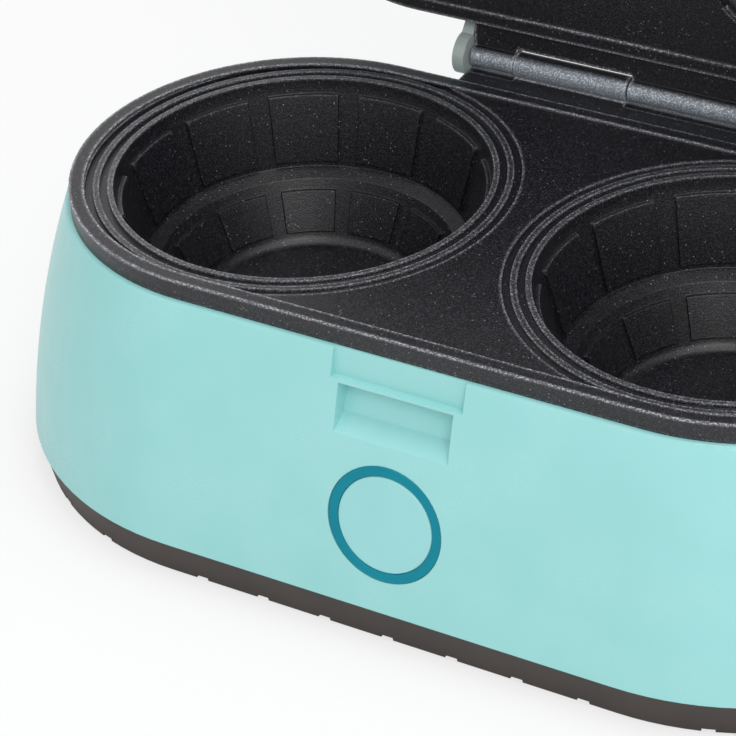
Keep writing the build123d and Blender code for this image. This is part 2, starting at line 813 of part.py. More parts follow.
with BuildPart() as lower_elements:
    with Locations(*[stand(BODY, x, 0, plate_top - element_drop) for x in bowls_x]):
        add(lower_element)

with BuildPart() as upper_elements:
    with Locations(*[stand(LID, x, 0, dome_element_h) for x in bowls_x]):
        add(upper_element)

with BuildPart() as lower_plate_screws:
    lug_low = shelf_under - lug_extra
    with Locations(*[flipped(BODY, x, y, lug_low) for x, y in plate_posts]):
        add(plate_screw)

with BuildPart() as hinge_pin:
    rod(BODY, pin_radius, -hinge_half, hinge_half, hinge_y, hinge_z)
    chamfer(hinge_pin.edges().filter_by(GeomType.CIRCLE), pin_bevel)

# Cord inlet bushing: flange outside, neck through the wall, collar inside

bushing_flange, bushing_round = 2.2, 0.9
bushing_collar = 1.3
bushing_catch = 1.2  # how far the collar stands out round the neck

with BuildPart() as cord_bushing:
    with BuildSketch(inlet_face):
        Circle(inlet_flange)
    extrude(amount=bushing_flange)
    fillet(cord_bushing.edges().group_by(Axis.Y)[-1], bushing_round)
    with BuildSketch(inlet_face):
        Circle(inlet_neck)
    extrude(amount=-inlet_pad_depth - fit)
    with BuildSketch(inlet_face.offset(-inlet_pad_depth - fit)):
        Circle(inlet_neck + bushing_catch)
    extrude(amount=-bushing_collar)
    with BuildSketch(inlet_face.offset(bushing_flange + past)):
        Circle(inlet_bore)
    extrude(amount=-4 * inlet_pad_depth, mode=Mode.SUBTRACT)

# Heat shields: flat pans with a turned-up rim


def pan(frame, radius, height, rim, posts, passes):
    """Sheet pan at a height, with a rim, screw holes and holes for leads."""
    with BuildSketch(level(frame, height)) as flat:
        racetrack(radius)
        with Locations(*posts):
            Circle(small_screw_hole + screw_pass, mode=Mode.SUBTRACT)
        with Locations(*passes):
            Circle(lead_pass, mode=Mode.SUBTRACT)
    extrude(flat.sketch, amount=sheet)
    with BuildSketch(level(frame, height)) as upstand:
        racetrack(radius)
        racetrack(radius - sheet, Mode.SUBTRACT)
    extrude(upstand.sketch, amount=rim)


shield_rim, lid_shield_rim = 6.0, 5.0
lead_radius = 1.1
lead_pass = 4.0
lead_x = 14.0
lead_y = 50.0
lead_clear = 4.5  # leads' first bend above the lower shield
lead_lean, lead_bend = 2.0, 6.0

with BuildPart() as lower_heat_shield:
    base_passes = [(-lead_x, lead_y), (lead_x, lead_y)]
    pan(BODY, shield_radius, shield_level, shield_rim, shield_posts, base_passes)

with BuildPart() as upper_heat_shield:
    lid_passes = [(0, -lead_y), (0, lead_y)]
    pan(LID, lid_shield_radius, lid_shield_level, lid_shield_rim, lid_shield_posts, lid_passes)

with BuildPart() as lower_shield_screws:
    with Locations(*[stand(BODY, x, y, shield_level + sheet) for x, y in shield_posts]):
        add(small_screw)

with BuildPart() as upper_shield_screws:
    with Locations(*[stand(LID, x, y, lid_shield_level + sheet) for x, y in lid_shield_posts]):
        add(small_screw)

# Thermostats, fuse and the straps that hold them

tab_reach, tab_width = 4.7, 5.0


def thermostat(frame, x, low):
    """Disc thermostat with two flat tabs, one to each side along Y."""
    post(frame, thermostat_radius, x, 0, low, low + thermostat_height)
    with BuildSketch(level(frame, low + thermostat_height / 2 - sheet / 2, x)) as tabs:
        Rectangle(tab_width, 2 * (thermostat_radius + tab_reach))
    extrude(tabs.sketch, amount=sheet)


def strap(frame, x, height):
    """Flat strap along X with a screw hole over each boss."""
    with BuildSketch(level(frame, height, x)) as band:
        SlotOverall(2 * strap_half + strap_width, strap_width)
        with Locations((-strap_half, 0), (strap_half, 0)):
            Circle(small_screw_hole + screw_pass, mode=Mode.SUBTRACT)
    extrude(band.sketch, amount=sheet)


with BuildPart() as lower_thermostat:
    thermostat(BODY, bowls_x[0], bowl_under - thermostat_height)

with BuildPart() as upper_thermostat:
    thermostat(LID, bowls_x[0], dome_floor)

with BuildPart() as thermal_fuse:
    fuse_height = bowl_under - play - fuse_radius
    with BuildSketch(level(BODY, fuse_height, bowls_x[1]).rotated((90, 0, 0))):
        Circle(fuse_radius)
    extrude(amount=fuse_half, both=True)
    with BuildSketch(level(BODY, fuse_height, bowls_x[1]).rotated((90, 0, 0))):
        Circle(fuse_pin_radius)
    extrude(amount=2 * fuse_half, both=True)

with BuildPart() as component_straps:
    strap(BODY, bowls_x[0], thermostat_strap_top - sheet)
    strap(BODY, bowls_x[1], fuse_strap_top - sheet)

with BuildPart() as upper_strap:
    strap(LID, bowls_x[0], dome_floor + thermostat_height)

with BuildPart() as strap_screws:
    strap_places = [
        flipped(BODY, x + side, 0, top - sheet)
        for x, top in ((bowls_x[0], thermostat_strap_top), (bowls_x[1], fuse_strap_top))
        for side in (-strap_half, strap_half)
    ]
    with Locations(*strap_places):
        add(short_screw)

with BuildPart() as upper_strap_screws:
    top = dome_floor + thermostat_height + sheet
    with Locations(*[stand(LID, bowls_x[0] + side, 0, top) for side in (-strap_half, strap_half)]):
        add(short_screw)

# Terminal block and its screws, and the cord clamp, on the cover's floor

block_length, block_width, block_height = 36.0, 12.0, 12.0
block_corner, block_ways = 1.5, 3
block_hole_radius, block_hole_depth, block_pitch = 1.9, 6.0, 7.0
block_screw_length = 4.5
clamp_length, clamp_width, clamp_thickness = 28.0, 7.0, 2.4

with BuildPart() as terminal_block:
    with BuildSketch(level(BODY, cover_floor, 0, lead_y)):
        RectangleRounded(block_length, block_width, block_corner)
    extrude(amount=block_height)
    with BuildSketch(level(BODY, cover_floor + block_height, 0, lead_y)):
        with GridLocations(block_pitch, 0, block_ways, 1):
            Circle(block_hole_radius)
    extrude(amount=-block_hole_depth, mode=Mode.SUBTRACT)

with BuildPart() as terminal_screws:
    with BuildSketch(level(BODY, cover_floor + block_height - block_hole_depth, 0, lead_y)):
        with GridLocations(block_pitch, 0, block_ways, 1):
            Circle(block_hole_radius - fit)
    extrude(amount=block_screw_length)

with BuildPart() as cord_clamp:
    with BuildSketch(level(BODY, clamp_post_top, 0, clamp_y)):
        SlotOverall(clamp_length, clamp_width)
        with Locations(*[(x, 0) for x, _ in clamp_posts]):
            Circle(small_screw_hole + screw_pass, mode=Mode.SUBTRACT)
    extrude(amount=clamp_thickness)

with BuildPart() as clamp_screws:
    clamp_top = clamp_post_top + clamp_thickness
    with Locations(*[stand(BODY, x, y, clamp_top) for x, y in clamp_posts]):
        add(small_screw)

# Leads of the base, as straight runs joined by arcs


def lead(points, radius):
    """Round lead along the points, given in the body's own x, y and height."""
    places = [BODY.from_local_coords(point) for point in points]
    with BuildPart() as body:
        with BuildLine() as route:
            FilletPolyline(*places, radius=radius)
        with BuildSketch(Plane(origin=places[0], z_dir=route.line % 0)):
            Circle(lead_radius)
        sweep(path=route.line)
    return body.part


lead_start = cover_floor + block_height + play
lead_high = shield_level + sheet + lead_clear
tab_height = bowl_under - thermostat_height / 2
with BuildPart() as thermostat_lead:
    add(
        lead(
            [
                (-lead_x, lead_y, lead_start),
                (-lead_x, lead_y, lead_high),
                (bowls_x[0], lead_y - lead_lean, tab_height),
                (bowls_x[0], thermostat_radius + tab_reach + play, tab_height),
            ],
            lead_bend,
        )
    )

with BuildPart() as fuse_lead:
    add(
        lead(
            [
                (lead_x, lead_y, lead_start),
                (lead_x, lead_y, lead_high),
                (bowls_x[1], lead_y - lead_lean, fuse_height),
                (bowls_x[1], 2 * fuse_half + play, fuse_height),
            ],
            lead_bend,
        )
    )

# Lid housing: a ring wall with the cheeks that cover the pin's ends and the latch ears

lid_wall_top = 30.0
lid_wall_bulge = 0.9
lid_shelf = plate_edge + shelf_thickness
lid_wall_step = 0.4  # lid's wall outside its cover
lid_wall_out = lid_top_radius + lid_wall_step
lid_mid = (plate_edge + lid_wall_top) / 2
lid_mid_out = (housing_top_radius + lid_wall_out) / 2 + lid_wall_bulge


def lid_wall_radius(height, inset=0.0):
    """Outer radius of the lid's wall along its straight chord, less an inset."""
    share = (height - plate_edge) / (lid_wall_top - plate_edge)
    return housing_top_radius + (lid_wall_out - housing_top_radius) * share - inset


with BuildSketch() as lid_section:
    with BuildLine():
        ThreePointArc(
            (housing_top_radius, plate_edge), (lid_mid_out, lid_mid), (lid_wall_out, lid_wall_top)
        )
        Line((lid_wall_out, lid_wall_top), (lid_wall_out - wall, lid_wall_top))
        ThreePointArc(
            (lid_wall_out - wall, lid_wall_top),
            (lid_mid_out - wall, lid_mid),
            (lid_wall_radius(lid_shelf, wall), lid_shelf),
        )
        Polyline(
            (lid_wall_radius(lid_shelf, wall), lid_shelf),
            (shelf_inner, lid_shelf),
            (shelf_inner, plate_edge),
            (housing_top_radius, plate_edge),
        )
    make_face()
    fillet(lid_section.vertices().group_by(Axis.Y)[0].sort_by(Axis.X)[-1], shoulder_round)

ear_inner = latch_half_width + play
ear_outer = ear_inner + ear_width
with BuildPart() as upper_housing:
    around(LID, lid_section.sketch)
    for x, y in plate_posts:
        reach = lug_reach if y > 0 else -lug_reach
        rim = shelf_inner + past if y > 0 else -shelf_inner - past
        with BuildSketch(level(LID, plate_edge, x, (reach + rim) / 2)):
            Rectangle(2 * lug_half_width, abs(rim - reach))
        extrude(amount=shelf_thickness + lug_extra)
    for side in (-1, 1):
        near = side * (hinge_half + 2 * play)
        far = side * (hinge_half + 2 * play + cheek_width)
        x_from, x_to = min(near, far), max(near, far)
        rod(LID, cheek_radius, x_from, x_to, hinge_y, face_drop)
        cheek_arm = [
            (plate_radius + play, plate_edge),
            (hinge_y, face_drop - cheek_root * cheek_radius),
            (hinge_y + cheek_radius / 2, face_drop + cheek_root * cheek_radius),
            (lid_wall_radius(cheek_high, wall / 2), cheek_high),
        ]
        slab(LID, cheek_arm, x_from, x_to)
        low_x, high_x = sorted((side * ear_inner, side * ear_outer))
        ear = [
            (-lid_wall_radius(ear_low, wall / 2), ear_low),
            (pivot_y, pivot_h - ear_nose),
            (pivot_y - ear_bevel, pivot_h - ear_bevel),
            (pivot_y - ear_nose, pivot_h),
            (pivot_y - ear_bevel, pivot_h + ear_bevel),
            (pivot_y, pivot_h + ear_nose),
            (-lid_wall_radius(ear_high, wall / 2), ear_high),
        ]
        slab(LID, ear, low_x, high_x)
    ears_half = ear_outer + past
    rod(LID, latch_pin_radius + fit, -ears_half, ears_half, pivot_y, pivot_h, Mode.SUBTRACT)
    for x, y in plate_posts:
        hole = (plate_edge - past, lid_shelf + lug_extra + past)
        post(LID, plate_screw_hole + screw_pass, x, y, *hole, Mode.SUBTRACT)

with BuildPart() as upper_plate_screws:
    with Locations(*[stand(LID, x, y, lid_shelf + lug_extra) for x, y in plate_posts]):
        add(plate_screw)

# Lid cover: the top panel, which snaps into the ring wall

lens_radius = 3.5
lens_y = -44.0
lens_x = (-8.0, 8.0)
cover_under = lid_depth - wall
lens_collar, lens_crown, lens_round = 1.2, 0.6, 0.5
lens_low = cover_under - 1.4  # underside of the collars
cover_slope = 35.0  # degrees, hollow under the cover's rounded edge
lamp_radius, lamp_round = 2.3, 1.0
snap_depth, snap_web = 3.0, 2.0  # spigot that snaps into the ring wall, and the web over it
board_top = 32.2
board_thickness = 1.2
board_length, board_width, board_corner = 42.0, 14.0, 2.0
board_posts = [(-17.0, lens_y), (17.0, lens_y)]

with BuildPart() as lid_cover:
    with BuildSketch(level(LID, lid_wall_top)):
        racetrack(lid_top_radius)
    extrude(amount=lid_depth - lid_wall_top)
    fillet(lid_cover.faces().sort_by(Axis(LID.origin, LID.z_dir))[-1].edges(), lid_round)
    with BuildSketch(level(LID, lid_wall_top)):
        racetrack(lid_wall_out - wall - fit)
    extrude(amount=-snap_depth)
    with BuildSketch(level(LID, lid_wall_top - snap_depth)):
        racetrack(lid_wall_out - 2 * wall)
    extrude(amount=snap_depth + snap_web, mode=Mode.SUBTRACT)
    with BuildSketch(level(LID, lid_wall_top + snap_web)):
        racetrack(lid_wall_out - 2 * wall)
    extrude(amount=cover_under - lid_wall_top - snap_web, taper=cover_slope, mode=Mode.SUBTRACT)
    for x, y in board_posts:
        post(LID, boss_radius, x, y, board_top, cover_under + past)
        post(LID, small_screw_hole, x, y, board_top - past, cover_under, Mode.SUBTRACT)
    for x in lens_x:
        post(LID, lens_radius + fit, x, lens_y, lid_wall_top, lid_depth + past, Mode.SUBTRACT)


def lens(x):
    """Round lens through the cover, with a collar under it and a low crown."""
    post(LID, lens_radius + lens_collar, x, lens_y, lens_low, cover_under)
    post(LID, lens_radius, x, lens_y, lens_low, lid_depth + lens_crown)


with BuildPart() as power_lens:
    lens(lens_x[0])
    fillet(power_lens.faces().sort_by(Axis(LID.origin, LID.z_dir))[-1].edges(), lens_round)

with BuildPart() as ready_lens:
    lens(lens_x[1])
    fillet(ready_lens.faces().sort_by(Axis(LID.origin, LID.z_dir))[-1].edges(), lens_round)

with BuildPart() as lamp_board:
    with BuildSketch(level(LID, board_top - board_thickness, 0, lens_y)):
        RectangleRounded(board_length, board_width, board_corner)
        with Locations(*[(x, 0) for x, _ in board_posts]):
            Circle(small_screw_hole + screw_pass, mode=Mode.SUBTRACT)
    extrude(amount=board_thickness)

with BuildPart() as lamps:
    for x in lens_x:
        post(LID, lamp_radius, x, lens_y, board_top, lens_low - play)
    fillet(lamps.faces().group_by(Axis(LID.origin, LID.z_dir))[-1].edges(), lamp_round)

with BuildPart() as board_screws:
    with Locations(*[flipped(LID, x, y, board_top - board_thickness) for x, y in board_posts]):
        add(short_screw)

# Latch with its hook, pin and spring

hook_top = pocket_top - lid_face_shut - play
latch_gap = 0.5  # latch's inner face in front of the catch
latch_top = 24.0
inner_y = catch_y - latch_gap
latch_round = 2.8
window_half = 5.3
window_front, window_back, window_rise = 2.9, 6.0, 4.0  # room for the spring round the pivot

# The latch's outlines are drawn from its hook's top, the catch and the pivot

with BuildPart() as latch:
    latch_body = [
        (inner_y, latch_top),
        (inner_y, hook_top),
        (catch_y + 3.0, hook_top),
        (catch_y + 3.0, hook_top - 1.5),
        (catch_y - 0.2, hook_top - 5.1),
        (pivot_y - 4.4, hook_top - 6.2),
        (pivot_y - 5.4, hook_top - 3.5),
        (pivot_y - 3.2, hook_top + 3.0),
        (pivot_y - 3.8, pivot_h),
        (pivot_y - 2.4, latch_top),
    ]
    slab(LID, latch_body, -hook_half_width, hook_half_width)
    wide_low = lip_level - lid_face_shut + 2 * play
    latch_wide = [
        (inner_y, latch_top),
        (inner_y, wide_low),
        (pivot_y - 3.3, wide_low),
        (pivot_y - 3.8, pivot_h),
        (pivot_y - 2.4, latch_top),
    ]
    slab(LID, latch_wide, -latch_half_width, latch_half_width)
    rod(LID, latch_round, -latch_half_width, latch_half_width, pivot_y, pivot_h)
    slab(
        LID,
        [
            (pivot_y - window_front, pivot_h - window_rise),
            (pivot_y - window_front, pivot_h + window_rise),
            (pivot_y + window_back, pivot_h + window_rise),
            (pivot_y + window_back, pivot_h - window_rise),
        ],
        -window_half,
        window_half,
        Mode.SUBTRACT,
    )
    rod(
        LID,
        latch_pin_radius + fit,
        -latch_half_width - past,
        latch_half_width + past,
        pivot_y,
        pivot_h,
        Mode.SUBTRACT,
    )

with BuildPart() as latch_pin:
    rod(LID, latch_pin_radius, -ear_outer, ear_outer, pivot_y, pivot_h)

# Torsion spring on the latch pin, of tilted half turns that meet tangent to each other

spring_wire = 0.35
spring_ring = 1.9
spring_turns = 6
spring_pitch = 1.2
spring_leg_in, spring_leg_out = 5.2, 2.2  # towards the lid's wall, and inside the latch


def spring_place(across_x, inward, up):
    """Point of the spring from the pivot: along X, towards the lid, and up."""
    return LID.from_local_coords((across_x, pivot_y + inward, pivot_h + up))


with BuildPart() as latch_spring:
    half_pitch = spring_pitch / 2
    crown = sqrt(spring_ring**2 + (half_pitch / 2) ** 2)
    first_x = -spring_turns * half_pitch
    with BuildLine() as coil:
        Line(spring_place(first_x, spring_leg_in, spring_ring), spring_place(first_x, 0, spring_ring))
        for turn in range(2 * spring_turns):
            x = first_x + turn * half_pitch
            up = spring_ring if turn % 2 == 0 else -spring_ring
            out = -crown if turn % 2 == 0 else crown
            ThreePointArc(
                spring_place(x, 0, up),
                spring_place(x + half_pitch / 2, out, 0),
                spring_place(x + half_pitch, 0, -up),
            )
        Line(
            spring_place(-first_x, 0, spring_ring),
            spring_place(-first_x, -spring_leg_out, spring_ring),
        )
    with BuildSketch(Plane(origin=coil.line @ 0, z_dir=coil.line % 0)):
        Circle(spring_wire)
    sweep(path=coil.line)

# Write one file for each piece

pieces = {
    "lower_housing": lower_housing,
    "badge_ring": badge_ring,
    "badge_disc": badge_disc,
    "base_cover": base_cover,
    "rubber_feet": rubber_feet,
    "cover_screws": cover_screws,
    "lower_plate": lower_plate,
    "lower_plate_screws": lower_plate_screws,
    "lower_elements": lower_elements,
    "lower_heat_shield": lower_heat_shield,
    "lower_shield_screws": lower_shield_screws,
    "lower_thermostat": lower_thermostat,
    "thermal_fuse": thermal_fuse,
    "component_straps": component_straps,
    "strap_screws": strap_screws,
    "terminal_block": terminal_block,
    "terminal_screws": terminal_screws,
    "cord_clamp": cord_clamp,
    "clamp_screws": clamp_screws,
    "thermostat_lead": thermostat_lead,
    "fuse_lead": fuse_lead,
    "cord_bushing": cord_bushing,
    "hinge_pin": hinge_pin,
    "upper_plate": upper_plate,
    "upper_plate_screws": upper_plate_screws,
    "upper_elements": upper_elements,
    "upper_heat_shield": upper_heat_shield,
    "upper_shield_screws": upper_shield_screws,
    "upper_thermostat": upper_thermostat,
    "upper_strap": upper_strap,
    "upper_strap_screws": upper_strap_screws,
    "upper_housing": upper_housing,
    "lid_cover": lid_cover,
    "power_lens": power_lens,
    "ready_lens": ready_lens,
    "lamp_board": lamp_board,
    "lamps": lamps,
    "board_screws": board_screws,
    "latch_pin": latch_pin,
    "latch_spring": latch_spring,
    "latch": latch,
}

os.makedirs("parts", exist_ok=True)
for name, piece in pieces.items():
    piece.part.label = name
    export_step(piece.part, f"parts/{name}.step")
    print(name, len(piece.part.solids()), round(piece.part.volume))
print("rear reach", round(rear_reach, 2), "body middle at y", round(body_y, 3))
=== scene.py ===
import json
import logging
from dataclasses import dataclass, field
from enum import Enum
from math import cos, radians, sin
from typing import Any, Optional, Sequence, Union

import bpy
import numpy as np
from mathutils import Matrix, Vector


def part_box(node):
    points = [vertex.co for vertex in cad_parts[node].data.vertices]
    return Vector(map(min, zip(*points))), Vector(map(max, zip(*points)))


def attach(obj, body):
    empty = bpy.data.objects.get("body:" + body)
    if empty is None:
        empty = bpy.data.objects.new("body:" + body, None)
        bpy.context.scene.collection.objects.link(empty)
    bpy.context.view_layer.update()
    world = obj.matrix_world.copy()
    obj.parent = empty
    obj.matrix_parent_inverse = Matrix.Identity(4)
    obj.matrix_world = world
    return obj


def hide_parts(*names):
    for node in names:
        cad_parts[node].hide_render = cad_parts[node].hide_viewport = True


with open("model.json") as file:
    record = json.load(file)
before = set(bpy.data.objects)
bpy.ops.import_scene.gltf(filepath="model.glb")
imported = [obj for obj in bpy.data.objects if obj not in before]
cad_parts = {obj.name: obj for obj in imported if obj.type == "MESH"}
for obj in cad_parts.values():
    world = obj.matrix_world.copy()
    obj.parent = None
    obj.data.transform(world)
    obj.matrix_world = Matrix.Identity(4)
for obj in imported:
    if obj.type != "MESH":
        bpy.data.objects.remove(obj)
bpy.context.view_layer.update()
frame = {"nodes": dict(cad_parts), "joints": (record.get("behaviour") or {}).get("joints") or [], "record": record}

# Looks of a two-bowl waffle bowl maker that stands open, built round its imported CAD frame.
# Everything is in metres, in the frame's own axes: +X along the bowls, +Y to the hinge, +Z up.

LOG = logging.getLogger("waffle_bowl_maker")
MM = 0.001
IMAGE_WIDTH = 736  # pixels of the photograph's side
SENSOR_WIDTH = 36.0  # millimetres
EDGE_SAMPLES = 6  # short rays that find or round an edge
MIDDLE = 0.5  # of a noise

Colour = tuple[float, float, float, float]
Triple = tuple[float, float, float]
Span = tuple[float, float]  # where a ramp starts, and where it is full
Faces = list[list[int]]  # point numbers round each face
WHITE: Colour = (1.0, 1.0, 1.0, 1.0)
NO_X: Triple = (0.0, 1.0, 1.0)  # factor that takes out the share along X
HINGE: dict[str, Any] = next(joint for joint in frame["joints"] if joint["name"] == "lid_hinge")
HINGE_POINT: tuple[float, ...] = tuple(HINGE["pos_m"])


def paint(red: int, green: int, blue: int) -> Colour:
    """Turn a colour as seen on a screen into the linear one that shaders use.

    This is the usual screen curve. A share up to 0.04045 is divided by 12.92, and a larger one
    becomes ((share + 0.055) / 1.055)^2.4.

    Args:
        red: Red as displayed, from 0 to 255.
        green: Green as displayed, from 0 to 255.
        blue: Blue as displayed, from 0 to 255.

    Returns:
        The linear colour with an alpha of one.
    """
    shown = np.array([red, green, blue]) / 255.0
    linear = np.where(shown <= 0.04045, shown / 12.92, ((shown + 0.055) / 1.055) ** 2.4)
    return (float(linear[0]), float(linear[1]), float(linear[2]), 1.0)


class Term:
    """A shader socket that can stand in a formula."""

    def __init__(self, graph: "Graph", socket: Optional[bpy.types.NodeSocket]) -> None:
        """Keep the socket, if the node has one, and the graph it belongs to."""
        self.graph = graph
        self.socket = socket

    def _math(self, operation: str, first: Any, second: Any) -> "Term":
        """Add a Math node for one operation on two terms or numbers."""
        return self.graph.add("ShaderNodeMath", {"operation": operation}, {0: first, 1: second})

    def __add__(self, other: Any) -> "Term":
        """Sum with a term or number."""
        return self._math("ADD", self, other)

    def __radd__(self, other: Any) -> "Term":
        """Sum with a number on the left."""
        return self._math("ADD", other, self)

    def __sub__(self, other: Any) -> "Term":
        """Difference with a term or number."""
        return self._math("SUBTRACT", self, other)

    def __rsub__(self, other: Any) -> "Term":
        """Difference from a number on the left."""
        return self._math("SUBTRACT", other, self)

    def __mul__(self, other: Any) -> "Term":
        """Product with a term or number."""
        return self._math("MULTIPLY", self, other)

    def __rmul__(self, other: Any) -> "Term":
        """Product with a number on the left."""
        return self._math("MULTIPLY", other, self)

    def larger(self, other: Any) -> "Term":
        """The larger of this term and another."""
        return self._math("MAXIMUM", self, other)

    def above(self, limit: float) -> "Term":
        """One where the term is greater than the limit, else zero."""
        return self._math("GREATER_THAN", self, limit)

    def ramp(self, low: float, high: float) -> "Term":
        """Rise smoothly from zero at low to one at high."""
        return self.graph.add(
            "ShaderNodeMapRange",
            {"interpolation_type": "SMOOTHSTEP"},
            {"Value": self, "From Min": low, "From Max": high},
        )


class Graph:
    """Nodes of one material or of the surroundings, added a node at a time."""

    def __init__(self, owner: Union[bpy.types.Material, bpy.types.World]) -> None:
        """Start with no nodes on that owner."""
        self.owner = owner
        self.owner.use_nodes = True
        self.tree = self.owner.node_tree
        self.tree.nodes.clear()

    @classmethod
    def of_material(cls, name: str) -> "Graph":
        """Start the nodes of a new material."""
        return cls(bpy.data.materials.new(name))

    def add(
        self,
        kind: str,
        settings: Optional[dict[str, Any]] = None,
        inputs: Optional[dict[Union[int, str], Any]] = None,
        output: Union[int, str] = 0,
    ) -> Term:
        """Add any node.

        Args:
            kind: The node's type.
            settings: Its own settings, set before its sockets.
            inputs: Values or terms for its sockets, by name or number.
            output: Which output to hand back.

        Returns:
            The chosen output as a term.
        """
        node = self.tree.nodes.new(kind)
        for key, value in (settings or {}).items():
            setattr(node, key, value)
        for key, value in (inputs or {}).items():
            if isinstance(value, Term):
                self.tree.links.new(value.socket, node.inputs[key])
            else:
                node.inputs[key].default_value = value
        return Term(self, node.outputs[output] if len(node.outputs) else None)

    def place(self) -> Term:
        """The point's own place on the object, in metres."""
        return self.add("ShaderNodeTexCoord", output="Object")

    def noise(self, size: float, detail: float = 2.0, stretch: Sequence[float] = (1, 1, 1)) -> Term:
        """Cloudy noise with blotches about as wide as size.

        Args:
            size: Width of a blotch in metres.
            detail: How many finer layers are added.
            stretch: Factor on the pattern's fineness along X, Y and Z.

        Returns:
            The noise, about 0.5 in the middle.
        """
        where = self.add(
            "ShaderNodeMapping", None, {"Vector": self.place(), "Scale": tuple(stretch)}
        )
        return self.add(
            "ShaderNodeTexNoise", None, {"Vector": where, "Scale": 1.0 / size, "Detail": detail}
        )

    def cells(self, size: float) -> Term:
        """Random cells about as wide as size: the distance to their middle, in cell widths."""
        return self.add("ShaderNodeTexVoronoi", None, {"Vector": self.place(), "Scale": 1.0 / size})

    def lottery(self, size: float) -> Term:
        """A random number from zero to one for each of those cells."""
        picked = self.add(
            "ShaderNodeTexVoronoi", None, {"Vector": self.place(), "Scale": 1.0 / size}, "Color"
        )
        return self.add("ShaderNodeSeparateColor", None, {"Color": picked})

    def outer_edges(self, width: float) -> Term:
        """Share from zero on open faces to about a half along outer edges.

        Short rays go into the solid. Near an outer edge some of them meet its other face.

        Args:
            width: How far from the edge the share reaches, in metres.

        Returns:
            The share.
        """
        depth = self.add(
            "ShaderNodeAmbientOcclusion",
            {"samples": EDGE_SAMPLES, "inside": True, "only_local": True},
            {"Distance": width},
            "AO",
        )
        return 1.0 - depth

    def from_hinge(self) -> Term:
        """The way from the hinge's line, which runs along X, to the point, in metres."""
        away = self.add(
            "ShaderNodeVectorMath", {"operation": "SUBTRACT"}, {0: self.place(), 1: HINGE_POINT}
        )
        return self.add("ShaderNodeVectorMath", {"operation": "MULTIPLY"}, {0: away, 1: NO_X})

    def off_hinge(self) -> Term:
        """Distance from the hinge's line, in metres."""
        return self.add(
            "ShaderNodeVectorMath", {"operation": "LENGTH"}, {0: self.from_hinge()}, "Value"
        )

    def past_hinge(self, way: Sequence[float]) -> Term:
        """How far the point lies from the hinge's line along a direction, in metres."""
        return self.add(
            "ShaderNodeVectorMath",
            {"operation": "DOT_PRODUCT"},
            {0: self.from_hinge(), 1: tuple(way)},
            "Value",
        )

    def height(self) -> Term:
        """The point's own height above the worktop at rest, in metres."""
        return self.add("ShaderNodeSeparateXYZ", None, {"Vector": self.place()}, "Z")

    def mix(self, share: Any, first: Any, second: Any) -> Term:
        """Blend two colours by a share from zero to one."""
        return self.add("ShaderNodeMix", {"data_type": "RGBA"}, {0: share, 6: first, 7: second}, 2)

    def relief(self, height: Any, depth: float, strength: float, edge: float) -> Term:
        """Surface direction with fine relief over slightly rounded edges.

        Args:
            height: The relief's height, from zero to one.
            depth: How deep a height of one is, in metres.
            strength: How strongly the relief shows.
            edge: Radius that sharp edges seem rounded to, in metres.

        Returns:
            The direction for a Normal socket.
        """
        rounded = self.add("ShaderNodeBevel", {"samples": EDGE_SAMPLES}, {"Radius": edge})
        return self.add(
            "ShaderNodeBump",
            None,
            {"Strength": strength, "Distance": depth, "Height": height, "Normal": rounded},
        )

    def finish(self, **sockets: Any) -> bpy.types.Material:
        """Close the material with the main shader, its sockets named with underscores."""
        inputs = {key.replace("_", " "): value for key, value in sockets.items()}
        shader = self.add("ShaderNodeBsdfPrincipled", None, inputs)
        self.add("ShaderNodeOutputMaterial", None, {"Surface": shader})
        return self.owner


@dataclass(frozen=True)
class MouldedPlastic:
    """Injection-moulded plastic: even colour, faint flow clouds and a fine skin.

    Where a hinge colour is given, the plastic is greyed to it near the hinge, a painted shade where
    the lid's cheeks stand in shadow. The rough values say how far each pattern changes the
    roughness, here and in the other finishes.
    """

    name: str
    colour: Colour
    shade: Colour
    roughness: float = 0.3
    gloss: float = 0.5
    grain: float = 0.35 * MM
    grain_depth: float = 0.01 * MM
    edge: float = 0.35 * MM
    grain_strength: float = 0.35
    cloud_size: float = 26 * MM
    cloud_ramp: Span = (0.3, 0.72)
    cloud_rough: float = 0.08
    grain_rough: float = 0.03
    scuff_size: float = 1.6 * MM
    scuff_stretch: Triple = (1.0, 0.35, 1.4)
    scuff_ramp: Span = (0.66, 0.74)
    scuff_rough: float = 0.06
    bending: float = 1.48  # refractive index
    # painted shade: the grey that the wall takes near the hinge, where the cheeks stand in shadow
    painted_hinge_shade: Optional[Colour] = None
    hinge_shade_ramp: Span = (8 * MM, 17 * MM)  # from the hinge's line
    hinge_shade_share: float = 0.8

    def make(self) -> bpy.types.Material:
        """Build the material."""
        graph = Graph.of_material(self.name)
        clouds = graph.noise(self.cloud_size, detail=3.0)
        skin = graph.noise(self.grain, detail=2.0)
        scuffs = graph.noise(self.scuff_size, detail=4.0, stretch=self.scuff_stretch)
        scuffs = scuffs.ramp(*self.scuff_ramp)
        colour = graph.mix(clouds.ramp(*self.cloud_ramp), self.colour, self.shade)
        # Painted shade: greyer towards the hinge's line, where the lid's cheeks stand in shadow.
        if self.painted_hinge_shade:
            near = 1.0 - graph.off_hinge().ramp(*self.hinge_shade_ramp)
            colour = graph.mix(near * self.hinge_shade_share, colour, self.painted_hinge_shade)
        rough = self.roughness + (clouds - MIDDLE) * self.cloud_rough
        return graph.finish(
            Base_Color=colour,
            Roughness=rough + skin * self.grain_rough + scuffs * self.scuff_rough,
            Normal=graph.relief(skin, self.grain_depth, self.grain_strength, self.edge),
            IOR=self.bending,
            Specular_IOR_Level=self.gloss,
        )


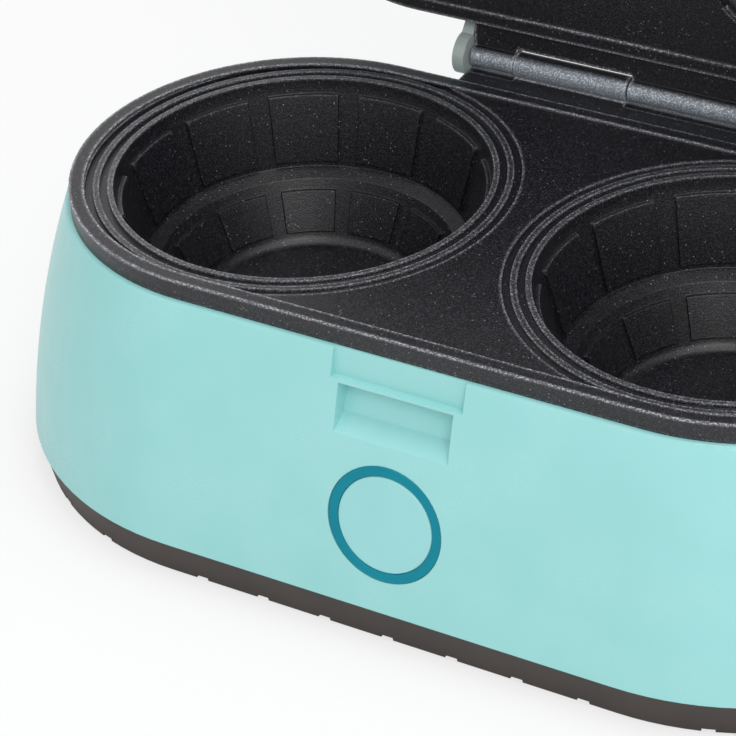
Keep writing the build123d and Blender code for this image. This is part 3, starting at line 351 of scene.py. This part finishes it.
@dataclass(frozen=True)
class NonStickCoat:
    """Near-black non-stick coat on cast aluminium, speckled, with painted highlights along its edges.

    The knuckles of the hinge are painted pale in front and below, a painted highlight, and keep the
    coat's dark colour above and behind. The painted edge highlights fade out down in the bowls.
    """

    name: str
    ground: Colour
    deep: Colour
    speck: Colour
    spark: Colour
    # colour of the painted highlights along edges
    rim: Colour
    knuckle_highlight_colour: Colour
    roughness: float = 0.36
    cloud_size: float = 16 * MM
    cloud_ramp: Span = (0.3, 0.7)
    cloud_rough: float = 0.1
    speck_size: float = 0.5 * MM
    speck_ramp: Span = (0.47, 0.66)
    speck_share: float = 0.38
    spark_size: float = 0.8 * MM
    spark_ramp: Span = (0.14, 0.34)  # from a cell's middle, in cell widths
    spark_draw: float = 0.94  # cells that draw more than this hold a spark
    spark_share: float = 0.6
    spark_rough: float = 0.1
    spark_metal: float = 0.4
    # edge_width and edge_ramp shape the mask of the painted edge highlights
    edge_width: float = 1.3 * MM
    edge_ramp: Span = (0.1, 0.38)
    edge_highlight_least: float = 0.2  # share of an edge's painted highlight between the specks
    groove_highlight_share: float = 0.5  # of the painted highlight on edges below the lip
    bowl_ramp: Span = (88 * MM, 93.5 * MM)  # heights from which the painted edge highlights start
    lip_ramp: Span = (95.4 * MM, 95.9 * MM)
    # Painted highlight on the hinge's knuckles: pale and metallic in front and below, fading out up and back.
    knuckle_ramp: Span = (4.1 * MM, 4.7 * MM)  # from the hinge's line
    highlight_fade_way: Triple = (0.0, 0.57, 0.82)  # up and back
    highlight_fade_ramp: Span = (0.2 * MM, 2.7 * MM)  # from the hinge's line, along highlight_fade_way
    knuckle_highlight_least: float = 0.4
    knuckle_highlight_share: float = 0.95
    knuckle_highlight_metal: float = 0.45
    skin_size: float = 0.55 * MM
    skin_depth: float = 0.1 * MM
    skin_strength: float = 0.85
    spark_height: float = 0.5
    edge: float = 0.5 * MM
    bending: float = 1.5  # refractive index

    def make(self) -> bpy.types.Material:
        """Build the material."""
        graph = Graph.of_material(self.name)
        clouds = graph.noise(self.cloud_size, detail=3.0)
        skin = graph.noise(self.skin_size, detail=3.0)
        specks = graph.noise(self.speck_size, detail=1.5).ramp(*self.speck_ramp)
        cores = 1.0 - graph.cells(self.spark_size).ramp(*self.spark_ramp)
        sparks = cores * graph.lottery(self.spark_size).above(self.spark_draw)
        # Painted highlight: pale lines along outer edges, brightest on the lip, fading out down in the bowls.
        edge_highlight_mask = graph.outer_edges(self.edge_width).ramp(*self.edge_ramp)
        edge_highlights = edge_highlight_mask * (self.edge_highlight_least + specks * (1.0 - self.edge_highlight_least))
        edge_highlights = edge_highlights * graph.height().ramp(*self.bowl_ramp)
        on_lip = graph.height().ramp(*self.lip_ramp)
        edge_highlights = edge_highlights * (self.groove_highlight_share + on_lip * (1.0 - self.groove_highlight_share))
        # Painted highlight: the knuckles pale in front and below, where they face the light; up and back they keep
        # the dark coat.
        knuckle_highlight_mask = 1.0 - graph.off_hinge().ramp(*self.knuckle_ramp)
        knuckle_highlight_mask = knuckle_highlight_mask * (1.0 - graph.past_hinge(self.highlight_fade_way).ramp(*self.highlight_fade_ramp))
        knuckle_highlight = knuckle_highlight_mask * (self.knuckle_highlight_least + specks * (1.0 - self.knuckle_highlight_least))
        ground = graph.mix(clouds.ramp(*self.cloud_ramp), self.ground, self.deep)
        speckled = graph.mix(specks * self.speck_share, ground, self.speck)
        sparkled = graph.mix(sparks * self.spark_share, speckled, self.spark)
        with_edge_highlights = graph.mix(edge_highlights, sparkled, self.rim)
        rough = self.roughness + (clouds - MIDDLE) * self.cloud_rough
        height = skin + sparks * self.spark_height
        return graph.finish(
            Base_Color=graph.mix(knuckle_highlight * self.knuckle_highlight_share, with_edge_highlights, self.knuckle_highlight_colour),
            Roughness=rough - sparks * self.spark_rough,
            Metallic=sparks * self.spark_metal + knuckle_highlight * self.knuckle_highlight_metal,
            Normal=graph.relief(height, self.skin_depth, self.skin_strength, self.edge),
            IOR=self.bending,
        )


@dataclass(frozen=True)
class PlatedSteel:
    """Rolled or turned steel: fine lines, dull blotches and a soft gleam."""

    name: str
    colour: Colour
    dull: Colour
    roughness: float = 0.34
    line_size: float = 0.5 * MM
    line_stretch: Triple = (0.05, 1.0, 1.0)
    line_rough: float = 0.2
    line_depth: float = 0.015 * MM
    line_strength: float = 0.4
    blotch_size: float = 6 * MM
    blotch_ramp: Span = (0.42, 0.75)
    blotch_rough: float = 0.15
    edge: float = 0.15 * MM

    def make(self) -> bpy.types.Material:
        """Build the material."""
        graph = Graph.of_material(self.name)
        lines = graph.noise(self.line_size, detail=2.0, stretch=self.line_stretch)
        blotches = graph.noise(self.blotch_size, detail=4.0)
        rough = self.roughness + (lines - MIDDLE) * self.line_rough
        return graph.finish(
            Base_Color=graph.mix(blotches.ramp(*self.blotch_ramp), self.colour, self.dull),
            Roughness=rough + (blotches - MIDDLE) * self.blotch_rough,
            Metallic=1.0,
            Normal=graph.relief(lines, self.line_depth, self.line_strength, self.edge),
        )


@dataclass(frozen=True)
class SoftRubber:
    """Matt rubber with a fine pebbled skin and a little dust."""

    name: str
    colour: Colour
    dust: Colour
    roughness: float = 0.74
    dust_size: float = 7 * MM
    dust_ramp: Span = (0.5, 0.85)
    dust_share: float = 0.4
    dust_rough: float = 0.12
    skin_size: float = 0.5 * MM
    skin_depth: float = 0.05 * MM
    skin_strength: float = 0.5
    edge: float = 0.3 * MM

    def make(self) -> bpy.types.Material:
        """Build the material."""
        graph = Graph.of_material(self.name)
        skin = graph.noise(self.skin_size, detail=3.0)
        dust = graph.noise(self.dust_size, detail=4.0).ramp(*self.dust_ramp)
        return graph.finish(
            Base_Color=graph.mix(dust * self.dust_share, self.colour, self.dust),
            Roughness=self.roughness + dust * self.dust_rough,
            Normal=graph.relief(skin, self.skin_depth, self.skin_strength, self.edge),
        )


@dataclass(frozen=True)
class ClearLens:
    """Tinted lens of an unlit lamp, moulded with fine pyramids."""

    name: str
    colour: Colour
    shade: Colour
    roughness: float = 0.12
    coat: float = 0.4
    facet_size: float = 0.7 * MM
    facet_ramp: Span = (0.1, 0.6)
    facet_rough: float = 0.1
    facet_depth: float = 0.04 * MM
    facet_strength: float = 0.4
    edge: float = 0.2 * MM

    def make(self) -> bpy.types.Material:
        """Build the material."""
        graph = Graph.of_material(self.name)
        facets = graph.cells(self.facet_size)
        return graph.finish(
            Base_Color=graph.mix(facets.ramp(*self.facet_ramp), self.colour, self.shade),
            Roughness=self.roughness + facets * self.facet_rough,
            Normal=graph.relief(facets, self.facet_depth, self.facet_strength, self.edge),
            Coat_Weight=self.coat,
        )


@dataclass(frozen=True)
class WovenSleeve:
    """Woven heat-proof sleeve over a lead: crossed strands."""

    name: str
    colour: Colour
    gap: Colour
    roughness: float = 0.8
    strand_size: float = 0.45 * MM
    strand_ramp: Span = (0.25, 0.6)
    strand_depth: float = 0.08 * MM
    strand_strength: float = 0.7
    fuzz_size: float = 0.2 * MM
    fuzz_rough: float = 0.1
    edge: float = 0.1 * MM

    def make(self) -> bpy.types.Material:
        """Build the material."""
        graph = Graph.of_material(self.name)
        strands = graph.cells(self.strand_size)
        fuzz = graph.noise(self.fuzz_size, detail=2.0)
        return graph.finish(
            Base_Color=graph.mix(strands.ramp(*self.strand_ramp), self.colour, self.gap),
            Roughness=self.roughness + fuzz * self.fuzz_rough,
            Normal=graph.relief(1.0 - strands, self.strand_depth, self.strand_strength, self.edge),
        )


class Look(Enum):
    """The finishes, named as the record's material slots."""

    AQUA = "aqua_plastic"
    TEAL = "teal_plastic"
    BADGE = "pale_plastic"
    DARK = "dark_plastic"
    COAT = "nonstick"
    STEEL = "steel"
    RUBBER = "rubber"
    BLOCK = "pale_block"
    SLEEVE = "lead_sleeve"
    RED = "red_lens"
    GREEN = "green_lens"
    BOARD = "board"
    LAMP = "lamp_glass"


Finish = Union[MouldedPlastic, NonStickCoat, PlatedSteel, SoftRubber, ClearLens, WovenSleeve]
FINISHES: dict[Look, Finish] = {
    Look.AQUA: MouldedPlastic("aqua_plastic", paint(157, 217, 216), paint(151, 214, 212), 0.27),
    Look.TEAL: MouldedPlastic("teal_plastic", paint(0, 134, 152), paint(0, 126, 147), 0.42, 0.2),
    Look.BADGE: MouldedPlastic("badge_plastic", paint(155, 215, 216), paint(150, 212, 213), 0.3),
    Look.DARK: MouldedPlastic(
        "dark_plastic", paint(66, 58, 55), paint(59, 52, 50), 0.5, 0.4, 0.6 * MM, 0.05 * MM, 0.4 * MM
    ),
    Look.COAT: NonStickCoat(
        "speckled_coat",
        ground=paint(13, 12, 15),
        deep=paint(9, 9, 11),
        speck=paint(74, 71, 82),
        spark=paint(176, 176, 186),
        # painted highlight along edges
        rim=paint(200, 202, 210),
        # painted highlight of the hinge's knuckles
        knuckle_highlight_colour=paint(206, 216, 226),
    ),
    Look.STEEL: PlatedSteel("plated_steel", paint(196, 196, 194), paint(160, 158, 154)),
    Look.RUBBER: SoftRubber("black_rubber", paint(34, 34, 34), paint(96, 92, 88)),
    Look.BLOCK: MouldedPlastic("pale_block", paint(226, 222, 210), paint(214, 208, 194), 0.5),
    Look.SLEEVE: WovenSleeve("woven_sleeve", paint(214, 208, 192), paint(150, 144, 130)),
    Look.RED: ClearLens("red_lens", paint(176, 30, 22), paint(120, 14, 12)),
    Look.GREEN: ClearLens("green_lens", paint(40, 142, 62), paint(18, 98, 40)),
    Look.BOARD: MouldedPlastic("board_laminate", paint(34, 92, 46), paint(26, 78, 38), 0.45),
    Look.LAMP: ClearLens("lamp_glass", paint(226, 220, 202), paint(200, 192, 172)),
}
OWN_FINISHES: dict[str, Finish] = {
    "upper_housing": MouldedPlastic(
        "lid_wall_plastic",
        paint(157, 217, 216),
        paint(151, 214, 212),
        0.27,
        # painted shade of the cheeks by the hinge
        painted_hinge_shade=paint(176, 184, 180),
        hinge_shade_share=0.92,
    ),
}
SLOTS: dict[str, Look] = {
    row["node"]: Look(row["material_slot"]) for row in frame["record"]["subparts"]
}


@dataclass
class PaintShop:
    """The materials, each made when it is first asked for, and the dressing of CAD nodes."""

    weld: float = 0.004 * MM
    crease: float = 32.0  # degrees past which an edge stays sharp
    made: dict[str, bpy.types.Material] = field(default_factory=dict)

    def material(self, node: str) -> bpy.types.Material:
        """The material of a node: its own finish if it has one, else its slot's."""
        finish = OWN_FINISHES.get(node, FINISHES[SLOTS[node]])
        if finish.name not in self.made:
            self.made[finish.name] = finish.make()
        return self.made[finish.name]

    def dress(self, name: str) -> None:
        """Give one CAD node its finish, and shade its round faces smoothly.

        Args:
            name: The CAD node, whose mesh keeps its vertices.
        """
        node = frame["nodes"][name]
        node.data.materials.clear()
        node.data.materials.append(self.material(name))
        node.data.polygons.foreach_set("use_smooth", [True] * len(node.data.polygons))
        join = node.modifiers.new("join", "WELD")
        join.merge_threshold = self.weld
        split = node.modifiers.new("creases", "EDGE_SPLIT")
        split.split_angle = radians(self.crease)

    def dress_all(self, names: Sequence[str]) -> None:
        """Dress several CAD nodes, in order."""
        for name in names:
            self.dress(name)
        LOG.info("dressed %s", ", ".join(names))


PAINT_SHOP = PaintShop()


def points_of(node: str) -> np.ndarray:
    """The vertices of a CAD node at rest, one row each, in metres."""
    mesh = frame["nodes"][node].data
    flat = np.empty(len(mesh.vertices) * 3, np.float32)
    mesh.vertices.foreach_get("co", flat)
    return flat.reshape(-1, 3).astype(float)


@dataclass(frozen=True)
class Seat:
    """Where a round piece sits: the foot of its axis, and two directions square to it."""

    foot: np.ndarray
    axis: np.ndarray
    side: np.ndarray
    width: float
    height: float

    @classmethod
    def of(cls, node: str, axis: np.ndarray) -> "Seat":
        """Read a seat from a CAD node.

        The node's vertices are measured along the axis and along two directions square to it.
        The foot is midway between the least and the greatest of both, at the lowest height.

        Args:
            node: The CAD node.
            axis: The direction from its foot to its top.

        Returns:
            The seat, with the node's greatest radius and its height.
        """
        points = points_of(node)
        side = np.array([1.0, 0.0, 0.0])
        other = np.cross(axis, side)
        spans = np.stack([points @ side, points @ other, points @ axis])
        low, high = spans.min(axis=1), spans.max(axis=1)
        middle = (low + high) / 2
        foot = side * middle[0] + other * middle[1] + axis * low[2]
        return cls(foot, axis, side, float(high[0] - low[0]) / 2, float(high[2] - low[2]))


def thin_axis(node: str, towards: np.ndarray) -> np.ndarray:
    """The direction in which a flat round node is thinnest, turned to point one way.

    It is the last right-hand singular vector of the vertices about their mean, with its X
    share taken out, because the nodes it is used on are alike left and right.
    """
    points = points_of(node)
    axis = np.linalg.svd(points - points.mean(axis=0), full_matrices=False)[2][2]
    axis = axis * np.array(NO_X)
    axis = axis / np.linalg.norm(axis)
    return axis if axis @ towards > 0 else -axis


def rounded(
    corners: Sequence[Span], cuts: Sequence[float], steps: int = 7, beyond: float = 0.3
) -> np.ndarray:
    """Outline with its corners rounded.

    Each corner turns into a quadratic curve, (1 - t)^2 * before + 2 t (1 - t) * corner +
    t^2 * after, where before and after lie one cut away along the corner's two sides. One more
    point lies a little way outside each end, so that flat stretches stay flat when shaded.

    Args:
        corners: Radius and height of each corner, in order round the outline.
        cuts: How much of each side the rounding takes, in metres.
        steps: Points on each curve.
        beyond: How far outside the curve its extra points lie, as a share of the cut.

    Returns:
        The points, as rows of radius and height.
    """
    corner = np.array(corners)
    cut = np.array(cuts)[:, None]
    back = np.roll(corner, 1, axis=0) - corner
    ahead = np.roll(corner, -1, axis=0) - corner
    back = back / np.linalg.norm(back, axis=1, keepdims=True)
    ahead = ahead / np.linalg.norm(ahead, axis=1, keepdims=True)
    t = np.linspace(0.0, 1.0, steps)[None, :, None]
    before, after = (corner + back * cut)[:, None], (corner + ahead * cut)[:, None]
    curve = (1 - t) ** 2 * before + 2 * t * (1 - t) * corner[:, None] + t**2 * after
    outside = cut + beyond * cut
    first = (corner + back * outside)[:, None]
    last = (corner + ahead * outside)[:, None]
    return np.concatenate([first, curve, last], axis=1).reshape(-1, 2)


def grid_faces(rows: int, columns: int, wrap_rows: bool) -> Faces:
    """Quads between the points of a grid whose columns run round and meet again.

    Args:
        rows: Points along the profile or path.
        columns: Points round it.
        wrap_rows: Whether the last row meets the first.

    Returns:
        The quads.
    """
    row = np.arange(rows if wrap_rows else rows - 1)[:, None]
    column = np.arange(columns)[None, :]
    next_row, next_column = (row + 1) % rows, (column + 1) % columns
    quads = np.stack(
        [
            row * columns + column,
            row * columns + next_column,
            next_row * columns + next_column,
            next_row * columns + column,
        ],
        axis=-1,
    )
    return quads.reshape(-1, 4).tolist()


def turned(profile: np.ndarray, seat: Seat, sides: int) -> np.ndarray:
    """Carry a profile round a seat's axis.

    Point = foot + axis * height + radius * (side * cos(a) + across * sin(a)), for every point
    of the profile and every angle a of a full turn.
    """
    turn = np.linspace(0.0, 2 * np.pi, sides, endpoint=False)
    across = np.cross(seat.axis, seat.side)
    spoke = np.cos(turn)[:, None] * seat.side + np.sin(turn)[:, None] * across
    points = seat.foot + profile[:, 1, None, None] * seat.axis + profile[:, 0, None, None] * spoke
    return points.reshape(-1, 3)


def capped(points: np.ndarray, faces: Faces, sides: int) -> tuple[np.ndarray, Faces]:
    """Close both open ends of a tube or dome with a fan of triangles round each end's middle.

    Args:
        points: The grid's points, one end's ring first and the other's last.
        faces: The grid's quads.
        sides: Points in a ring.

    Returns:
        The points with the two middles added, and all the faces.
    """
    ends = np.stack([points[:sides].mean(axis=0), points[-sides:].mean(axis=0)])
    ring = np.arange(sides)
    after = (ring + 1) % sides
    first, last = len(points), len(points) + 1
    start = np.stack([np.full(sides, first), after, ring], axis=1)
    top = len(points) - sides
    end = np.stack([np.full(sides, last), top + ring, top + after], axis=1)
    return np.concatenate([points, ends]), faces + start.tolist() + end.tolist()


def outward(points: np.ndarray, faces: Faces) -> Faces:
    """Faces turned to point outwards, judged by the sign of the volume that they close.

    The volume is a sixth of the sum of a . (b x c) over triangles; a quad is two of them.
    """
    fans = [(face[0], face[i], face[i + 1]) for face in faces for i in range(1, len(face) - 1)]
    a, b, c = (points[list(column)] for column in zip(*fans))
    volume = np.einsum("ij,ij->", a, np.cross(b, c))
    return faces if volume > 0 else [face[::-1] for face in faces]


def put_piece(name: str, points: np.ndarray, faces: Faces, body: str, node: str) -> None:
    """Make a mesh piece that stands for a CAD node.

    Args:
        name: The piece's name.
        points: Its vertices, in place, in metres.
        faces: Its faces.
        body: The body that it rides on.
        node: The CAD node that it stands for and takes its finish from.
    """
    mesh = bpy.data.meshes.new(name)
    mesh.from_pydata(points.tolist(), [], outward(points, faces))
    mesh.polygons.foreach_set("use_smooth", [True] * len(mesh.polygons))
    mesh.materials.append(PAINT_SHOP.material(node))
    piece = bpy.data.objects.new(name, mesh)
    bpy.context.scene.collection.objects.link(piece)
    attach(piece, body)
    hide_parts(node)
    LOG.info("built %s for %s, %d faces", name, node, len(mesh.polygons))


@dataclass(frozen=True)
class Dome:
    """Face that falls from its middle by fall * (radius / reach)^2, as far out as its rim."""

    top: float
    fall: float
    reach: float
    rim: float
    rings: int

    @property
    def shoulder(self) -> float:
        """Height of the face at its reach."""
        return self.top - self.fall

    def outline(self, corners: Sequence[Span], cuts: Sequence[float]) -> np.ndarray:
        """Outline of a round piece that carries this face.

        Args:
            corners: Radius and height of its corners, the first and the last on the axis.
            cuts: How much of each side the rounding takes, in metres.

        Returns:
            The points, as rows of radius and height, from beside the axis at the foot, round
            the edge and in across the face.
        """
        radius = np.linspace(self.rim, self.rim / self.rings, self.rings)
        face = np.stack([radius, self.top - self.fall * (radius / self.reach) ** 2], axis=1)
        edge = rounded(corners, cuts).reshape(len(corners), -1, 2)[1:-1].reshape(-1, 2)
        start = np.array([[self.rim / self.rings, 0.0]])
        return np.concatenate([start, edge[:-1], face])


def put_domed(name: str, outline: np.ndarray, seat: Seat, sides: int, body: str, node: str) -> None:
    """Make a piece of an outline that is carried round its seat's axis and closed at both ends."""
    quads = grid_faces(len(outline), sides, False)
    points, faces = capped(turned(outline, seat, sides), quads, sides)
    put_piece(name, points, faces, body, node)


@dataclass
class LowerBody:
    """Aqua housing on its dark base cover, with feet, screws and the bushing of the cord inlet."""

    nodes: tuple[str, ...] = (
        "lower_housing",
        "base_cover",
        "rubber_feet",
        "cover_screws",
        "cord_bushing",
    )

    def build(self) -> None:
        """Dress the lower body's nodes."""
        PAINT_SHOP.dress_all(self.nodes)


@dataclass
class Badge:
    """Bare badge place on the front: a crowned disc in a flat coloured ring."""

    sides: int = 144
    bore: float = 15.25 * MM  # radius of the ring's opening
    ring_round: float = 0.45 * MM
    disc_round: float = 0.7 * MM
    crown_inset: float = 1.3  # from the disc's edge to the crown's rim, in disc_round
    crown: float = 0.14 * MM
    foot_round: float = 0.08 * MM
    rings: int = 20  # points across the crown

    def front(self) -> np.ndarray:
        """The badge's direction, out of the leaning front wall."""
        return thin_axis("badge_disc", np.array([0.0, -1.0, 0.0]))

    def ring(self) -> None:
        """Ring: a rounded rectangle carried round the axis."""
        seat = Seat.of("badge_ring", self.front())
        corners = [
            (self.bore, 0.0),
            (seat.width, 0.0),
            (seat.width, seat.height),
            (self.bore, seat.height),
        ]
        cuts = [self.foot_round, self.foot_round, self.ring_round, self.ring_round]
        profile = rounded(corners, cuts)
        faces = grid_faces(len(profile), self.sides, True)
        points = turned(profile, seat, self.sides)
        put_piece("badge_ring_face", points, faces, "base", "badge_ring")

    def disc(self) -> None:
        """Disc: a crowned face with a rounded rim."""
        seat = Seat.of("badge_disc", self.front())
        rim = seat.width - self.crown_inset * self.disc_round
        dome = Dome(seat.height, self.crown, seat.width, rim, self.rings)
        corners = [
            (0.0, 0.0),
            (seat.width, 0.0),
            (seat.width, dome.shoulder),
            (0.0, dome.shoulder),
        ]
        cuts = [self.foot_round, self.foot_round, self.disc_round, self.foot_round]
        outline = dome.outline(corners, cuts)
        put_domed("badge_disc_face", outline, seat, self.sides, "base", "badge_disc")

    def build(self) -> None:
        """Make the ring and the disc."""
        self.ring()
        self.disc()


@dataclass
class CookingPlates:
    """Both speckled castings with their screws, and the pin of the hinge between them."""

    nodes: tuple[str, ...] = (
        "lower_plate",
        "upper_plate",
        "lower_plate_screws",
        "upper_plate_screws",
        "hinge_pin",
    )

    def build(self) -> None:
        """Dress the plates."""
        PAINT_SHOP.dress_all(self.nodes)


@dataclass
class HeatingParts:
    """What heats and guards the plates: elements, shields, thermostats, fuse and wiring."""

    nodes: tuple[str, ...] = (
        "lower_elements",
        "upper_elements",
        "lower_heat_shield",
        "upper_heat_shield",
        "lower_shield_screws",
        "upper_shield_screws",
        "lower_thermostat",
        "upper_thermostat",
        "thermal_fuse",
        "component_straps",
        "upper_strap",
        "strap_screws",
        "upper_strap_screws",
        "terminal_block",
        "terminal_screws",
        "cord_clamp",
        "clamp_screws",
        "thermostat_lead",
        "fuse_lead",
    )

    def build(self) -> None:
        """Dress the inner parts."""
        PAINT_SHOP.dress_all(self.nodes)


@dataclass
class Lid:
    """Ring wall and cover of the lid, with its two lamps behind domed lenses."""

    nodes: tuple[str, ...] = ("upper_housing", "lid_cover", "lamp_board", "lamps", "board_screws")
    lenses: tuple[str, ...] = ("power_lens", "ready_lens")
    sides: int = 64
    rings: int = 14  # points across a dome
    stem: float = 3.5 * MM  # radius of a lens above its collar
    collar: float = 1.4 * MM  # height of the collar
    dome: float = 0.5 * MM
    edge: float = 0.25 * MM

    def outside(self) -> np.ndarray:
        """The lid's outward direction at rest: straight up, turned back by the hinge's range."""
        opened = radians(HINGE["range_deg"][1])
        return np.array([0.0, sin(opened), cos(opened)])

    def lens(self, node: str) -> None:
        """Lens: a collar, a straight stem and a dome."""
        seat = Seat.of(node, self.outside())
        dome = Dome(seat.height, self.dome, self.stem, self.stem - self.edge, self.rings)
        corners = [
            (0.0, 0.0),
            (seat.width, 0.0),
            (seat.width, self.collar),
            (self.stem, self.collar),
            (self.stem, dome.shoulder),
            (0.0, dome.shoulder),
        ]
        cuts = [self.edge, self.edge, self.edge, self.edge / 2, self.edge, self.edge]
        put_domed(f"{node}_dome", dome.outline(corners, cuts), seat, self.sides, "lid", node)

    def build(self) -> None:
        """Dress the lid and make its lenses."""
        PAINT_SHOP.dress_all(self.nodes)
        for node in self.lenses:
            self.lens(node)


@dataclass
class Latch:
    """Latch at the lid's front, with its pin and torsion spring."""

    nodes: tuple[str, ...] = ("latch", "latch_pin", "latch_spring")

    def build(self) -> None:
        """Dress the latch."""
        PAINT_SHOP.dress_all(self.nodes)


@dataclass(frozen=True)
class Lamp:
    """A square soft lamp that faces the object."""

    name: str
    place: Triple
    size: float
    power: float

    def hang(self, aim: Sequence[float]) -> None:
        """Hang the lamp so that it looks at a point."""
        data = bpy.data.lights.new(self.name, "AREA")
        data.size, data.energy = self.size, self.power
        lamp = bpy.data.objects.new(self.name, data)
        lamp.location = self.place
        towards = Vector(aim) - Vector(self.place)
        lamp.rotation_euler = towards.to_track_quat("-Z", "Y").to_euler()
        bpy.context.scene.collection.objects.link(lamp)


@dataclass
class Studio:
    """Camera as solved from the photograph, pale floor and soft light."""

    azimuth: float = 30.4903
    elevation: float = 35.0655
    roll: float = -2.9646
    focal_pixels: float = 2984.77
    distance: float = 882.137 * MM
    target_x: float = -28.034 * MM
    target_ahead: float = 40.237 * MM  # in front of the body's middle
    target_z: float = 61.2 * MM
    clip_near: float = 0.05
    clip_far: float = 60.0
    floor_half: float = 6.0
    floor_colour: Colour = (0.9, 0.9, 0.9, 1.0)
    floor_lift: float = 0.7  # share of plain white that the eye sees on the floor
    fill: float = 0.6  # strength of the surroundings as a light
    aim: Triple = (0.0, 0.0, 0.08)
    lamps: tuple[Lamp, ...] = (
        Lamp("key_lamp", (0.9, -1.2, 1.4), 1.1, 14.0),
        Lamp("top_lamp", (0.2, 0.1, 1.6), 0.9, 8.0),
    )

    def camera(self) -> None:
        """Place the camera: back along azimuth and elevation, then turned by the roll."""
        low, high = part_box("lower_housing")
        body_y = (low.y + high.y) / 2
        around, rise, roll = radians(self.azimuth), radians(self.elevation), radians(self.roll)
        back = Vector((sin(around) * cos(rise), -cos(around) * cos(rise), sin(rise)))
        level = Vector((cos(around), sin(around), 0.0))
        upright = back.cross(level)
        right = cos(roll) * level + sin(roll) * upright
        up = -sin(roll) * level + cos(roll) * upright
        data = bpy.data.cameras.new("photo_camera")
        data.sensor_width = SENSOR_WIDTH
        data.lens = self.focal_pixels * SENSOR_WIDTH / IMAGE_WIDTH
        data.clip_start, data.clip_end = self.clip_near, self.clip_far
        camera = bpy.data.objects.new("photo_camera", data)
        target = Vector((self.target_x, body_y - self.target_ahead, self.target_z))
        turn = Matrix((right, up, back)).transposed().to_4x4()
        camera.matrix_world = Matrix.Translation(target + back * self.distance) @ turn
        bpy.context.scene.collection.objects.link(camera)
        bpy.context.scene.camera = camera

    def world(self) -> None:
        """White surroundings to the eye, in gloss and through glass, softer as a light."""
        graph = Graph(bpy.data.worlds.new("surroundings"))
        seen = graph.add("ShaderNodeLightPath", output="Is Camera Ray")
        seen = seen.larger(graph.add("ShaderNodeLightPath", output="Is Glossy Ray"))
        seen = seen.larger(graph.add("ShaderNodeLightPath", output="Is Transmission Ray"))
        strength = self.fill + seen * (1.0 - self.fill)
        sky = graph.add("ShaderNodeBackground", None, {"Color": WHITE, "Strength": strength})
        graph.add("ShaderNodeOutputWorld", None, {"Surface": sky})
        bpy.context.scene.world = graph.owner

    def floor(self) -> None:
        """Lay a white floor that keeps the object's shadow and is lifted to white for the eye."""
        half = self.floor_half
        mesh = bpy.data.meshes.new("floor")
        corners = [(-half, -half, 0.0), (half, -half, 0.0), (half, half, 0.0), (-half, half, 0.0)]
        mesh.from_pydata(corners, [], [(0, 1, 2, 3)])
        graph = Graph.of_material("floor_white")
        seen = graph.add("ShaderNodeLightPath", output="Is Camera Ray")
        matt = graph.add("ShaderNodeBsdfDiffuse", None, {"Color": self.floor_colour})
        lift = graph.add("ShaderNodeEmission", None, {"Color": WHITE, "Strength": 1.0})
        shown = graph.add("ShaderNodeMixShader", None, {0: seen * self.floor_lift, 1: matt, 2: lift})
        graph.add("ShaderNodeOutputMaterial", None, {"Surface": shown})
        mesh.materials.append(graph.owner)
        floor = bpy.data.objects.new("floor", mesh)
        bpy.context.scene.collection.objects.link(floor)

    def build(self) -> None:
        """Set up the camera, the floor, the surroundings and the lamps."""
        self.camera()
        self.floor()
        self.world()
        for lamp in self.lamps:
            lamp.hang(self.aim)
        bpy.context.scene.view_settings.view_transform = "Standard"


def main() -> None:
    """Build the scene in order."""
    logging.basicConfig(level=logging.INFO, format="%(message)s")
    Studio().build()
    for assembly in (LowerBody(), Badge(), CookingPlates(), HeatingParts(), Lid(), Latch()):
        assembly.build()


if __name__ == "__main__":
    main()
